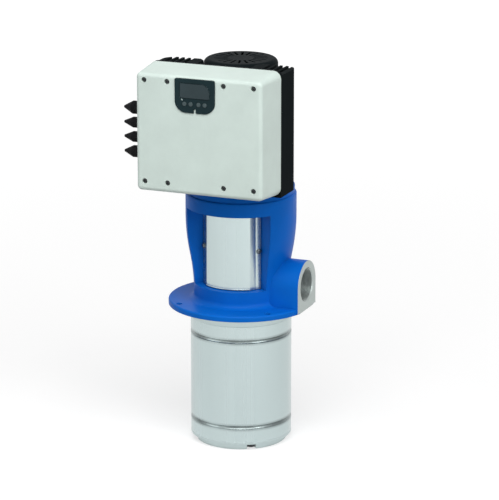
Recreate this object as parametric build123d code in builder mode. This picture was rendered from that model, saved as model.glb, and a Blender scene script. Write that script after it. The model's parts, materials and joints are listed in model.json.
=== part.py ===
from build123d import *
from math import cos, radians, sin
import os

# Immersible vertical multistage pump with a drive on its motor, in millimetres.
# +Z runs up the shaft, +X out of the discharge port, -Y to the front of the drive.
# The origin is the centre of the mounting flange's underside.

# Ways a form is placed: standing on its place, hanging from it, or with its corner there
UPWARD = (Align.CENTER, Align.CENTER, Align.MIN)
DOWNWARD = (Align.CENTER, Align.CENTER, Align.MAX)
CORNER = (Align.MIN, Align.MIN)

# Shared fits and edges
running_fit = 0.05
shaft_fit = 0.03
screw_fit = 0.05
screw_end_gap = 0.5
screw_hole_clear = 0.4
small_chamfer = 1.0
overlap = 1.0

# Mounting flange and pump head
flange_r = 125.0
flange_t = 9.5
flange_hole_r = 5.5
flange_hole_pcd_r = 115.0
flange_hole_count = 4
flange_hole_angle = 45.0
foot_r = 81.0
foot_blend = 10.0
lantern_top_r = 95.0
lantern_h = 198.0
taper_start = 20.0
taper_end = lantern_h - 38.0
edge_round = 3.0
lantern_bore_r = 58.0
lantern_floor = 38.0
register_r = 65.0
register_h = 12.0
column_pocket_r = 80.0
column_pocket_w = 66.0
column_pocket_z = (100.0, lantern_h - 20.0)

# Coupling windows and guards
window_half_angle = 53.5
window_z = (39.0, lantern_h - 24.5)
guard_seat_r = 65.4
ledge_w = 9.0
ledge_angle = 9.0
guard_t = 1.2
guard_gap = 1.0
guard_raise = 3.6
guard_strip_angle = 8.5
guard_slope_angle = 9.5
guard_bend_r = 2.5
guard_bead_r = 1.2
guard_clear = 0.1
guard_screw_r = 2.4
guard_screw_head_r = 4.6
guard_screw_head_t = 2.6
guard_screw_len = 6.0

# Discharge port
port_z = 43.5
port_boss_r = 42.0
port_boss_z = 1.5
port_face_x = 121.0
port_thread_r = 28.33
port_thread_len = 26.0
port_bore_r = 26.5
port_chamfer = 1.6
port_pipe_wall = 8.0

# Seal turret and chamber in the head
turret_r = 50.0
turret_top = 80.0
chamber_r = 42.0
chamber_mouth_r = 60.0
chamber_cone_h = 26.0
turret_roof = 12.0
seal_bore_r = 30.0

# Vent plug
vent_z = 25.0
vent_r = 5.8
vent_collar_r = 10.0
vent_collar_t = 4.0
vent_seat_y = 79.5
vent_hex_af = 8.0
vent_hex_depth = 6.0

# Pump casing below the flange
sleeve_r = 87.0
sleeve_wall = 1.6
sleeve_end_gap = 0.1
ring_r = 88.6
ring_h = 20.4
ring_seat_h = 1.0
ring_seat_clear = 0.4
ring_spigot_h = 15.6
ring_bore_r = 64.0
spigot_clear = 0.1
bead_depth = 2.2
bead_wire_r = 3.2
bead_inset = 26.5
o_ring_r = 1.45
o_ring_groove_w = 4.0

# Stage stack
stage_count = 4
stage_pitch = 44.0
stage_r = 68.0
stage_wall = 2.0
floor_t = 2.0
stage_clear = 0.1
neck_r = 24.0
neck_wall = 3.0
neck_gap = 0.4
neck_drop = 0.5
impeller_r = 52.0
shroud_t = 2.0
front_shroud_z = 5.0
back_shroud_z = 17.0
hub_r = 14.0
hub_z = (9.0, 22.0)
impeller_vanes = 6
impeller_vane_t = 2.0
impeller_vane_r = (22.0, 51.0)
impeller_vane_sweep = 48.0
impeller_vane_sag = 8.0
diffuser_disc_z = 24.0
diffuser_disc_r = 57.0
diffuser_vanes = 8
diffuser_vane_t = 2.0
return_vane_sweep = 40.0
return_vane_sag = 7.0
diffuser_hub_r = 19.0
bush_r = 16.0
bush_len = 12.0

# Suction casing
suction_spigot_h = 15.0
suction_bore_r = 62.0
suction_flange_t = 4.0
suction_plate_t = 6.0
inlet_r = 34.0
foot_ring_r = 78.6
foot_ring_bore_r = 66.0
foot_ring_h = 11.0
nut_pocket_r = 9.0
strainer_t = 1.5
strainer_rim_h = 7.0
strainer_slots = 16
strainer_slot_w = 5.0
strainer_slot_len = 30.0
strainer_slot_mid_r = 43.0

# Tie bolts
tie_pcd_r = 74.0
tie_r = 4.0
tie_count = 4
tie_angle = -55.0
tie_thread_depth = 14.0
tie_nut_af = 13.0
tie_nut_h = 6.5
tie_end_below_nut = 1.5

# Shafts, seal and coupling
shaft_r = 9.0
spacer_r = 13.0
shaft_nut_h = 8.0
shaft_nut_af = 21.0
shaft_end_below_nut = 2.5
bellows_z = 30.0
bellows_r = 17.0
bellows_root_r = 15.0
bellows_h = 22.0
bellows_pleats = 4
seal_ring_r = 18.0
seal_face_z = 64.0
seal_face_gap = 0.1
seal_seat_r = 19.0
seal_seat_h = 12.0
seal_seat_bore = 9.8
seal_cover_r = 47.0
seal_cover_t = 7.0
seal_screw_r = 3.0
seal_screw_pcd_r = 40.0
seal_screw_head_r = 5.0
seal_screw_head_h = 5.0
seal_screw_depth = 10.0
coupling_r = 30.0
coupling_z = (98.0, lantern_h - 20.0)
coupling_split = 2.0
coupling_flat_y = 25.0
coupling_screw_r = 4.0
coupling_screw_x = 20.0
coupling_screw_inset = (coupling_z[1] - coupling_z[0]) / 5
coupling_head_r = 6.5
coupling_head_h = 8.0
coupling_recess_r = 7.8
coupling_head_y = 17.0
shaft_joint_z = coupling_z[1] - 0.375 * (coupling_z[1] - coupling_z[0])
shaft_joint_gap = 4.0

# Motor
motor_flange_r = 92.0
motor_flange_t = 11.0
motor_bolt_pcd_r = 82.5
motor_bolt_r = 5.0
motor_bolt_depth = 18.0
motor_bolt_head_af = 17.0
motor_bolt_head_h = 6.4
motor_shaft_r = 12.0
motor_seat_r = 12.5
motor_mid_r = 15.0
motor_tail_r = 10.0
motor_tail_end = 2.0
bearing_de_r = 26.0
bearing_de_h = 15.0
bearing_fe_r = 23.5
bearing_fe_h = 14.0
bearing_hub_wall = 8.0
bearing_hub_rim = 2.0
bearing_shield_set = 0.8
bearing_de_lift = 6.0
bearing_fe_lift = 10.0
housing_z = (lantern_h + 12.0, lantern_h + 160.0)
housing_bore_r = 52.0
housing_r = 57.0
fin_r = 62.0
fin_t = 2.4
fin_step = 12.0
fin_free_half_angle = 54.0
core_z = (housing_z[0] + 32.0, housing_z[1] - 30.0)
core_bore_r = 32.0
air_gap = 0.3
winding_h = 15.0
winding_r = (34.0, 49.0)
winding_round = 4.0
spigot_len = 8.0
end_shield_t = 14.0
end_shield_r = 61.0
end_shield_web = 4.0
end_shield_cap = 3.0
end_shield_hole_r = 12.4
fan_z = housing_z[1] + 34.0
fan_r = 48.0
fan_h = 18.0
fan_hub_r = 16.0
fan_blades = 7
fan_blade_t = 2.0
cowl_r = 63.0
cowl_wall = 1.6
cowl_top = fan_z + 37.0
cowl_round = 9.0
cowl_skirt_z = housing_z[1] + 3.0
cowl_slots = 20
cowl_slot_w = 4.0
cowl_slot_len = 24.0
cowl_slot_mid_r = 34.0
cowl_screw_r = 2.0
cowl_screw_depth = 8.0
cowl_screw_drop = 5.0
cowl_screw_angles = (45, 135, 225, 315)
pad_w = 84.0
pad_z = (housing_z[0] + 42.0, housing_z[1] - 6.0)
pad_y = 78.0
pad_round = 5.0

# Drive on the front of the motor
drive_joint_y = 115.0
cover_w = 236.0
cover_z = (housing_z[0] + 16.0, housing_z[0] + 227.5)
cover_depth = 70.0
cover_draft = 5.2
cover_corner = 14.0
cover_edge = 7.0
cover_wall = 3.0
sink_z = (cover_z[0] - 3.0, cover_z[1] - 7.5)
sink_back_y = 38.0
sink_corner = 22.0
sink_saddle_r = 68.0
sink_pad_gap = 6.0
sink_plate_t = 8.0
sink_root_y = 92.0
sink_slot_w = 6.5
sink_slot_x = tuple(cover_w / 2 - inset for inset in (46.0, 35.0, 24.0, 13.0))
sink_pocket = (cover_w - 64.0, 152.0, 15.0)
sink_pocket_mid_z = cover_z[0] + 108.0
sink_pocket_round = 6.0
cover_screw_outer_x = cover_w / 2 - 21.0
cover_screw_inner_x = 50.0
cover_screw_z = (cover_z[0] + 22.5, cover_z[1] - 17.5)
cover_screw_r = 2.5
cover_screw_head_r = 3.7
cover_screw_head_t = 2.4
cover_screw_recess_r = 4.5
cover_screw_recess = 3.2
cover_post_r = 5.6
cover_screw_depth = 11.0
drive_screw_x = 30.0
drive_screw_z = (pad_z[0] + 18.0, pad_z[1] - 18.0)
drive_screw_r = 3.0
drive_screw_head_r = 5.0
drive_screw_head_h = 6.0
drive_screw_depth = 12.0
gasket_w = 6.0
gasket_t = 2.0
gasket_clear = 0.3
board_size = (sink_pocket[0] - 2.0, 140.0, 1.6)
board_y = 128.0
board_post_r = 4.0
board_post = (board_size[0] / 2 - 15.0, board_size[1] / 2 - 10.0)
capacitor_r = 9.0
capacitor_h = 32.0
capacitor_spots = ((40.0, -34.0), (62.0, -34.0), (40.0, -12.0), (62.0, -12.0))
block_h = 14.0
block_spots = ((-45.0, 11.0, 46.0, 30.0), (-48.0, -44.0, 60.0, 12.0), (20.0, 38.0, 70.0, 14.0))

# Keypad in the cover's front
pad_centre_x = -6.0
keypad_w = 71.0
keypad_z = (cover_z[1] - 66.5, cover_z[1] - 9.7)
keypad_lower_round = 20.0
keypad_upper_round = 3.0
keypad_proud = 1.6
keypad_plate_t = 2.6
keypad_wall = 2.0
keypad_clear = 0.2
keypad_lip = 1.5
keypad_lip_t = 2.0
keypad_notch = (4.0, 7.0)
display_w = 52.0
display_h = 24.0
display_mid_z = keypad_z[1] - 19.8
display_round = 3.0
display_big_round = 15.0
display_t = 1.4
display_proud = 0.3
button_r = 3.6
button_x = (-24.0, -13.0, 1.0, 12.0)
button_z = keypad_z[0] + 15.0
button_travel = 0.8
button_proud = button_travel + 0.4
button_gap = 0.3
button_flange_r = 4.8
button_flange_t = 1.2
button_edge = 0.8

# Cable glands on the left wall, top to bottom
gland_y = 155.0
gland_z = tuple(cover_z[0] + rise for rise in (139.0, 113.5, 89.0, 64.0))
gland_r = (11.5, 9.4, 9.4, 10.4)
gland_pad_x = cover_w / 2 - 1.0
gland_pad_w = 27.0
gland_pad_margin = 15.0
gland_pad_round = 6.0
gland_hex_h = 7.0
gland_cap_len = 22.0
gland_tip_r = 2.0
gland_thread_share = 0.6
gland_cap_share = 0.93
gland_skirt_share = 0.3
gland_stub = 10.0

# Levels worked out from the sizes above
stack_top = -ring_h - ring_spigot_h
stack_bottom = stack_top - stage_count * stage_pitch
stage_z = [stack_bottom + i * stage_pitch for i in range(stage_count)]
suction_shelf = stack_bottom - suction_spigot_h
suction_plate_z = suction_shelf - suction_flange_t
base_z = suction_plate_z - foot_ring_h
sleeve_bore_r = sleeve_r - sleeve_wall
spigot_r = sleeve_bore_r - spigot_clear
return_vane_r = (neck_r + diffuser_vane_t, stage_r - stage_wall - stage_clear - overlap)
ledge_half_angle = window_half_angle - ledge_angle
guard_screw_angle = window_half_angle - ledge_angle / 2
guard_screw_angles = [s * guard_screw_angle + turn for turn in (0, 180) for s in (-1, 1)]
guard_mid_z = (window_z[0] + window_z[1]) / 2
cover_mid_z = (cover_z[0] + cover_z[1]) / 2
cover_h = cover_z[1] - cover_z[0]
cover_face_y = drive_joint_y + cover_depth
flange_face_z = lantern_h + motor_flange_t
turret_roof_z = turret_top - turret_roof
fan_shield_z = housing_z[1]
cover_spots = [
    (middle + side * reach, z)
    for middle, reach in ((0, cover_screw_outer_x), (pad_centre_x, cover_screw_inner_x))
    for side in (-1, 1)
    for z in cover_screw_z
]
drive_spots = [(x, z) for x in (-drive_screw_x, drive_screw_x) for z in drive_screw_z]
keypad_mid_z = (keypad_z[0] + keypad_z[1]) / 2
keypad_h = keypad_z[1] - keypad_z[0]

os.makedirs("parts", exist_ok=True)


def from_front(angle, radius, z):
    """Point at an angle from the front, turning towards the port."""
    return (radius * sin(radians(angle)), -radius * cos(radians(angle)), z)


def tie_places(z):
    """Places of the tie bolts at one level."""
    return [
        Pos(tie_pcd_r * cos(radians(a)), tie_pcd_r * sin(radians(a)), z)
        for a in [tie_angle + 360 / tie_count * i for i in range(tie_count)]
    ]


def wedge_points(half_angle, reach):
    """Corners, seen from above, of a wedge that opens towards the front."""
    side = reach * sin(radians(half_angle))
    front = -reach * cos(radians(half_angle))
    return [(0, 0), (side, front), (side, -reach), (-side, -reach), (-side, front)]


# Curved vane of the impellers, drawn once
with BuildSketch() as impeller_vane:
    with BuildLine():
        SagittaArc(
            (impeller_vane_r[0], 0),
            (
                impeller_vane_r[1] * cos(radians(impeller_vane_sweep)),
                impeller_vane_r[1] * sin(radians(impeller_vane_sweep)),
            ),
            -impeller_vane_sag,
        )
    trace(line_width=impeller_vane_t)

# Curved return vane of the diffusers, drawn once
with BuildSketch() as return_vane:
    with BuildLine():
        SagittaArc(
            (return_vane_r[0], 0),
            (
                return_vane_r[1] * cos(radians(return_vane_sweep)),
                return_vane_r[1] * sin(radians(return_vane_sweep)),
            ),
            return_vane_sag,
        )
    trace(line_width=diffuser_vane_t)


# Pump head: flange, lantern and discharge port in one casting
with BuildPart() as pump_head:
    with BuildSketch(Plane.XZ) as head_outline:
        with BuildLine():
            taper_mid = ((foot_r + lantern_top_r) / 2, (taper_start + taper_end) / 2)
            Polyline(
                (0, lantern_h), (0, 0), (flange_r, 0), (flange_r, flange_t),
                (foot_r, flange_t), (foot_r, taper_start),
            )
            lower = TangentArc((foot_r, taper_start), taper_mid, tangent=(0, 1))
            TangentArc(taper_mid, (lantern_top_r, taper_end), tangent=lower % 1)
            Polyline((lantern_top_r, taper_end), (lantern_top_r, lantern_h), (0, lantern_h))
        make_face()
        fillet(head_outline.vertices().sort_by_distance((foot_r, flange_t))[0], radius=foot_blend)
        fillet(head_outline.vertices().sort_by_distance((flange_r, flange_t))[0], radius=edge_round)
        fillet(head_outline.vertices().sort_by_distance((lantern_top_r, lantern_h))[0], radius=edge_round)
    revolve(axis=Axis.Z)
    # Space for the coupling, and the motor's register above it
    with BuildSketch(Plane.XY.offset(lantern_floor)):
        Circle(lantern_bore_r)
    extrude(amount=lantern_h - lantern_floor, mode=Mode.SUBTRACT)
    with BuildSketch(Plane.XY.offset(lantern_h)):
        Circle(register_r)
    extrude(amount=-register_h, mode=Mode.SUBTRACT)
    # Cored columns
    with BuildSketch(Plane.XY.offset(column_pocket_z[0])):
        Circle(column_pocket_r)
        Rectangle(2 * flange_r, column_pocket_w, mode=Mode.INTERSECT)
    extrude(amount=column_pocket_z[1] - column_pocket_z[0], mode=Mode.SUBTRACT)
    # Windows, with a ledge inside each for its guard
    with BuildSketch(Plane.XY.offset(window_z[0])):
        Polygon(*wedge_points(window_half_angle, flange_r), align=None)
        Circle(guard_seat_r, mode=Mode.SUBTRACT)
        mirror(about=Plane.XZ)
    extrude(amount=window_z[1] - window_z[0], mode=Mode.SUBTRACT)
    with BuildSketch(Plane.XY.offset(window_z[0] + ledge_w)):
        Polygon(*wedge_points(ledge_half_angle, guard_seat_r + overlap), align=None)
        mirror(about=Plane.XZ)
    extrude(amount=window_z[1] - window_z[0] - 2 * ledge_w, mode=Mode.SUBTRACT)
    # Seal turret and the pipe from it to the port
    with BuildSketch(Plane.XY.offset(lantern_floor - overlap)):
        Circle(turret_r)
    extrude(amount=turret_top - lantern_floor + overlap)
    with BuildSketch(Plane.YZ):
        with Locations((0, port_z)):
            Circle(port_bore_r + port_pipe_wall)
    extrude(amount=guard_seat_r)
    with BuildSketch(Plane.YZ.offset(lantern_bore_r)):
        with Locations((0, port_z)):
            Circle(port_boss_r)
            Rectangle(2 * port_boss_r, port_z - port_boss_z, align=(Align.CENTER, Align.MAX))
    extrude(amount=port_face_x - lantern_bore_r)
    # Machined face of the port, with the flange's edge in the same plane
    with Locations((port_face_x, 0, 0)):
        Box(
            flange_r, 3 * port_boss_r, 4 * port_z,
            align=(Align.MIN, Align.CENTER, Align.CENTER), mode=Mode.SUBTRACT,
        )
    # Seat of the upper ring, sunk into the flange's underside
    with BuildSketch(Plane.XY):
        Circle(ring_r + ring_seat_clear)
    extrude(amount=ring_seat_h, mode=Mode.SUBTRACT)
    # Discharge chamber and passage
    with BuildSketch(Plane.XZ):
        Polygon(
            (0, 0), (chamber_mouth_r, 0), (chamber_r, chamber_cone_h),
            (chamber_r, turret_roof_z), (0, turret_roof_z), align=None,
        )
    revolve(axis=Axis.Z, mode=Mode.SUBTRACT)
    with BuildSketch(Plane.XY.offset(turret_roof_z)):
        Circle(seal_bore_r)
    extrude(amount=turret_roof, mode=Mode.SUBTRACT)
    with BuildSketch(Plane.YZ):
        with Locations((0, port_z)):
            Circle(port_bore_r)
    extrude(amount=port_face_x, mode=Mode.SUBTRACT)
    with BuildSketch(Plane.YZ.offset(port_face_x)):
        with Locations((0, port_z)):
            Circle(port_thread_r)
    extrude(amount=-port_thread_len, mode=Mode.SUBTRACT)
    mouth = pump_head.edges().filter_by(GeomType.CIRCLE).filter_by(
        lambda e: abs(e.radius - port_thread_r) < 0.01 and abs(e.center().X - port_face_x) < 0.01
    )
    chamfer(mouth, length=port_chamfer)
    # Holes in the flange, and threaded holes for everything that is screwed to the head
    with PolarLocations(flange_hole_pcd_r, flange_hole_count, start_angle=flange_hole_angle):
        Cylinder(flange_hole_r, 3 * flange_t, mode=Mode.SUBTRACT)
    with Locations(*tie_places(0)):
        Cylinder(tie_r, tie_thread_depth, align=UPWARD, mode=Mode.SUBTRACT)
    with Locations((0, 0, turret_top)):
        with PolarLocations(seal_screw_pcd_r, 4, start_angle=45):
            Cylinder(
                seal_screw_r, seal_screw_depth,
                align=DOWNWARD, mode=Mode.SUBTRACT,
            )
    for angle in guard_screw_angles:
        with BuildSketch(Plane(origin=(0, 0, guard_mid_z), z_dir=from_front(angle, 1, 0)).offset(turret_r)):
            Circle(guard_screw_r)
        extrude(amount=guard_seat_r - turret_r + overlap, mode=Mode.SUBTRACT)
    with Locations((0, 0, lantern_h)):
        with PolarLocations(motor_bolt_pcd_r, 4, start_angle=45):
            Cylinder(
                motor_bolt_r, motor_bolt_depth,
                align=DOWNWARD, mode=Mode.SUBTRACT,
            )
    with BuildSketch(Plane.XZ.offset(-vent_seat_y)):
        with Locations((0, vent_z)):
            Circle(vent_collar_r + overlap)
    extrude(amount=-foot_blend, mode=Mode.SUBTRACT)
    with BuildSketch(Plane.XZ.offset(-vent_seat_y)):
        with Locations((0, vent_z)):
            Circle(vent_r)
    extrude(amount=vent_seat_y - chamber_r, mode=Mode.SUBTRACT)
pump_head.part.label = "pump_head"
export_step(pump_head.part, "parts/pump_head.step")


# Vent plug at the back of the head
with BuildPart() as vent_plug:
    with BuildSketch(Plane.XZ.offset(-vent_seat_y)):
        with Locations((0, vent_z)):
            Circle(vent_r)
    extrude(amount=vent_seat_y - chamber_r - vent_collar_t)
    with BuildSketch(Plane.XZ.offset(-vent_seat_y)):
        with Locations((0, vent_z)):
            Circle(vent_collar_r)
    extrude(amount=-vent_collar_t)
    with BuildSketch(Plane.XZ.offset(-vent_seat_y - vent_collar_t)):
        with Locations((0, vent_z)):
            RegularPolygon(vent_hex_af / 2, 6, major_radius=False)
    extrude(amount=vent_hex_depth, mode=Mode.SUBTRACT)
vent_plug.part.label = "vent_plug"
export_step(vent_plug.part, "parts/vent_plug.step")


# Upper ring: closes the sleeve against the head
with BuildPart() as upper_ring:
    with BuildSketch(Plane.XZ) as upper_ring_half:
        with Locations((ring_bore_r, -ring_h)):
            Rectangle(ring_r - ring_bore_r, ring_h + ring_seat_h, align=CORNER)
        with Locations((ring_bore_r, stack_top)):
            Rectangle(spigot_r - ring_bore_r, ring_spigot_h, align=CORNER)
        with Locations((spigot_r, (stack_top - ring_h) / 2)):
            Rectangle(2 * (2 * o_ring_r), o_ring_groove_w, mode=Mode.SUBTRACT)
        outer = upper_ring_half.vertices().group_by(Axis.X)[-1]
        chamfer(outer, length=small_chamfer)
    revolve(axis=Axis.Z)
    with Locations(*tie_places(0)):
        Cylinder(tie_r + screw_hole_clear, 4 * ring_h, mode=Mode.SUBTRACT)
upper_ring.part.label = "upper_ring"
export_step(upper_ring.part, "parts/upper_ring.step")


# Outer sleeve with a rolled bead near each end
with BuildPart() as outer_sleeve:
    sleeve_top = -ring_h - sleeve_end_gap
    sleeve_bottom = suction_shelf + sleeve_end_gap
    bead_levels = (sleeve_top - bead_inset, sleeve_bottom + bead_inset)
    bead_r = sleeve_r + bead_wire_r - bead_depth
    with BuildSketch(Plane.XZ):
        with Locations((sleeve_bore_r, sleeve_bottom)):
            Rectangle(sleeve_wall, sleeve_top - sleeve_bottom, align=CORNER)
        with Locations(*[(bead_r, z) for z in bead_levels]):
            Circle(bead_wire_r + sleeve_wall)
            Circle(bead_wire_r, mode=Mode.SUBTRACT)
        with Locations(*[(sleeve_r, z) for z in bead_levels]):
            Rectangle(
                3 * bead_wire_r, 4 * bead_wire_r,
                align=(Align.MIN, Align.CENTER), mode=Mode.SUBTRACT,
            )
    revolve(axis=Axis.Z)
outer_sleeve.part.label = "outer_sleeve"
export_step(outer_sleeve.part, "parts/outer_sleeve.step")


# Suction casing: lower end of the sleeve, inlet, foot ring and pockets for the nuts
with BuildPart() as suction_casing:
    with BuildSketch(Plane.XZ) as suction_half:
        with Locations((suction_bore_r, suction_shelf)):
            Rectangle(spigot_r - suction_bore_r, suction_spigot_h, align=CORNER)
        with Locations((inlet_r, suction_plate_z)):
            Rectangle(foot_ring_r - inlet_r, suction_plate_t, align=CORNER)
            Rectangle(sleeve_r - inlet_r, suction_flange_t, align=CORNER)
        with Locations((foot_ring_bore_r, base_z)):
            Rectangle(foot_ring_r - foot_ring_bore_r, foot_ring_h, align=CORNER)
        with Locations((spigot_r, (stack_bottom + suction_shelf) / 2)):
            Rectangle(2 * (2 * o_ring_r), o_ring_groove_w, mode=Mode.SUBTRACT)
        chamfer(suction_half.vertices().sort_by_distance((foot_ring_r, base_z))[0], length=small_chamfer)
    revolve(axis=Axis.Z)
    with Locations(*tie_places(base_z)):
        Cylinder(
            nut_pocket_r, foot_ring_h,
            align=UPWARD, mode=Mode.SUBTRACT,
        )
        Cylinder(
            tie_r + screw_hole_clear, stack_bottom - base_z,
            align=UPWARD, mode=Mode.SUBTRACT,
        )
suction_casing.part.label = "suction_casing"
export_step(suction_casing.part, "parts/suction_casing.step")


# Strainer pressed into the foot ring
with BuildPart() as suction_strainer:
    strainer_r = foot_ring_bore_r - spigot_clear
    with BuildSketch(Plane.XZ):
        with Locations((strainer_r - strainer_t, suction_plate_z - strainer_rim_h)):
            Rectangle(strainer_t, strainer_rim_h, align=CORNER)
        with Locations((0, suction_plate_z - strainer_rim_h)):
            Rectangle(strainer_r, strainer_t, align=CORNER)
    revolve(axis=Axis.Z)
    with BuildSketch(Plane.XY.offset(suction_plate_z - strainer_rim_h)):
        with PolarLocations(strainer_slot_mid_r, strainer_slots):
            SlotOverall(strainer_slot_len, strainer_slot_w)
        with PolarLocations(strainer_slot_mid_r / 3, strainer_slots // 2):
            SlotOverall(strainer_slot_len / 2, strainer_slot_w)
    extrude(amount=strainer_t, mode=Mode.SUBTRACT)
suction_strainer.part.label = "suction_strainer"
export_step(suction_strainer.part, "parts/suction_strainer.step")


# Seals between the sleeve and its two ends
with BuildPart() as sleeve_o_rings:
    with BuildSketch(Plane.XZ):
        for level in ((stack_top - ring_h) / 2, (stack_bottom + suction_shelf) / 2):
            with Locations((spigot_r - o_ring_r, level)):
                Circle(o_ring_r)
    revolve(axis=Axis.Z)
sleeve_o_rings.part.label = "sleeve_o_rings"
export_step(sleeve_o_rings.part, "parts/sleeve_o_rings.step")


# Tie bolts that clamp the stack, and their nuts
tie_bottom = suction_plate_z - tie_nut_h - tie_end_below_nut
with BuildPart() as tie_bolts:
    with Locations(*tie_places(tie_bottom)):
        Cylinder(
            tie_r - screw_fit, tie_thread_depth - tie_bottom - screw_end_gap,
            align=UPWARD,
        )
tie_bolts.part.label = "tie_bolts"
export_step(tie_bolts.part, "parts/tie_bolts.step")

with BuildPart() as tie_bolt_nuts:
    with BuildSketch(Plane.XY.offset(suction_plate_z)):
        with Locations(*[(p.position.X, p.position.Y) for p in tie_places(0)]):
            RegularPolygon(tie_nut_af / 2, 6, major_radius=False)
            Circle(tie_r, mode=Mode.SUBTRACT)
    extrude(amount=-tie_nut_h)
tie_bolt_nuts.part.label = "tie_bolt_nuts"
export_step(tie_bolt_nuts.part, "parts/tie_bolt_nuts.step")


# Stage casings: a cup for each stage, open for the impeller's neck
casing_names = [f"stage_casing_{i + 1}" for i in range(stage_count)]
for name, z in zip(casing_names, stage_z):
    with BuildPart() as stage_casing:
        with BuildSketch(Plane.XZ):
            with Locations((stage_r - stage_wall, z)):
                Rectangle(stage_wall, stage_pitch, align=CORNER)
            with Locations((neck_r + neck_gap, z)):
                Rectangle(stage_r - neck_r - neck_gap, floor_t, align=CORNER)
        revolve(axis=Axis.Z)
    stage_casing.part.label = name
    export_step(stage_casing.part, f"parts/{name}.step")


# Impellers: closed, with backward-curved vanes between two shrouds
impeller_names = [f"impeller_{i + 1}" for i in range(stage_count)]
for name, z in zip(impeller_names, stage_z):
    with BuildPart() as impeller:
        with BuildSketch(Plane.XZ):
            with Locations((neck_r - neck_wall, z - neck_drop)):
                Rectangle(neck_wall, front_shroud_z + neck_drop, align=CORNER)
            with Locations((neck_r - neck_wall, z + front_shroud_z)):
                Rectangle(impeller_r - neck_r + neck_wall, shroud_t, align=CORNER)
            with Locations((shaft_r + shaft_fit, z + back_shroud_z)):
                Rectangle(impeller_r - shaft_r - shaft_fit, shroud_t, align=CORNER)
            with Locations((shaft_r + shaft_fit, z + hub_z[0])):
                Rectangle(
                    hub_r - shaft_r - shaft_fit, hub_z[1] - hub_z[0],
                    align=CORNER,
                )
        revolve(axis=Axis.Z)
        with BuildSketch(Plane.XY.offset(z + front_shroud_z + shroud_t / 2)):
            with PolarLocations(0, impeller_vanes):
                add(impeller_vane.sketch)
        extrude(amount=back_shroud_z - front_shroud_z)
    impeller.part.label = name
    export_step(impeller.part, f"parts/{name}.step")


# Diffusers: liner, disc and return vanes that lead the flow to the next eye
with BuildPart() as diffusers:
    for z in stage_z:
        with BuildSketch(Plane.XZ):
            with Locations((stage_r - 2 * stage_wall - stage_clear, z + floor_t)):
                Rectangle(stage_wall, stage_pitch - floor_t, align=CORNER)
            with Locations((bush_r, z + diffuser_disc_z)):
                Rectangle(diffuser_disc_r - bush_r, stage_wall, align=CORNER)
                Rectangle(diffuser_hub_r - bush_r, bush_len, align=CORNER)
        revolve(axis=Axis.Z)
        with BuildSketch(Plane.XY.offset(z + diffuser_disc_z)):
            with PolarLocations(0, diffuser_vanes):
                add(return_vane.sketch)
        extrude(amount=stage_pitch - diffuser_disc_z)
diffusers.part.label = "diffusers"
export_step(diffusers.part, "parts/diffusers.step")

with BuildPart() as bearing_bushes:
    with BuildSketch(Plane.XZ):
        for z in (stage_z[0], stage_z[-1]):
            with Locations((spacer_r + running_fit, z + diffuser_disc_z)):
                Rectangle(
                    bush_r - stage_clear / 2 - spacer_r - running_fit, bush_len,
                    align=CORNER,
                )
    revolve(axis=Axis.Z)
bearing_bushes.part.label = "bearing_bushes"
export_step(bearing_bushes.part, "parts/bearing_bushes.step")


# Pump shaft with what sits on it
nut_top = stage_z[0] + hub_z[0]
shaft_bottom = nut_top - shaft_nut_h - shaft_end_below_nut
with BuildPart() as pump_shaft:
    with Locations((0, 0, shaft_bottom)):
        Cylinder(
            shaft_r, shaft_joint_z - shaft_joint_gap / 2 - shaft_bottom,
            align=UPWARD,
        )
    chamfer(pump_shaft.edges().filter_by(GeomType.CIRCLE), length=small_chamfer)
pump_shaft.part.label = "pump_shaft"
export_step(pump_shaft.part, "parts/pump_shaft.step")

with BuildPart() as shaft_nut:
    with BuildSketch(Plane.XY.offset(nut_top)):
        RegularPolygon(shaft_nut_af / 2, 6, major_radius=False)
        Circle(shaft_r + shaft_fit, mode=Mode.SUBTRACT)
    extrude(amount=-shaft_nut_h)
shaft_nut.part.label = "shaft_nut"
export_step(shaft_nut.part, "parts/shaft_nut.step")

with BuildPart() as shaft_spacers:
    spacer_ends = [z + hub_z[0] for z in stage_z[1:]] + [bellows_z]
    with BuildSketch(Plane.XZ):
        for z, end in zip(stage_z, spacer_ends):
            with Locations((shaft_r + shaft_fit, z + hub_z[1])):
                Rectangle(
                    spacer_r - shaft_r - shaft_fit, end - z - hub_z[1],
                    align=CORNER,
                )
    revolve(axis=Axis.Z)
shaft_spacers.part.label = "shaft_spacers"
export_step(shaft_spacers.part, "parts/shaft_spacers.step")

with BuildPart() as seal_bellows:
    pleat = bellows_h / (2 * bellows_pleats + 1)
    with BuildSketch(Plane.XZ):
        with Locations((shaft_r + shaft_fit, bellows_z)):
            Rectangle(bellows_root_r - shaft_r - shaft_fit, bellows_h, align=CORNER)
        with Locations(*[(bellows_root_r, bellows_z + 2 * i * pleat) for i in range(bellows_pleats + 1)]):
            Rectangle(bellows_r - bellows_root_r, pleat, align=CORNER)
    revolve(axis=Axis.Z)
seal_bellows.part.label = "seal_bellows"
export_step(seal_bellows.part, "parts/seal_bellows.step")

with BuildPart() as seal_ring:
    with BuildSketch(Plane.XZ):
        with Locations((shaft_r + shaft_fit, bellows_z + bellows_h)):
            Rectangle(
                seal_ring_r - shaft_r - shaft_fit,
                seal_face_z - seal_face_gap - bellows_z - bellows_h,
                align=CORNER,
            )
    revolve(axis=Axis.Z)
seal_ring.part.label = "seal_ring"
export_step(seal_ring.part, "parts/seal_ring.step")


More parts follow.
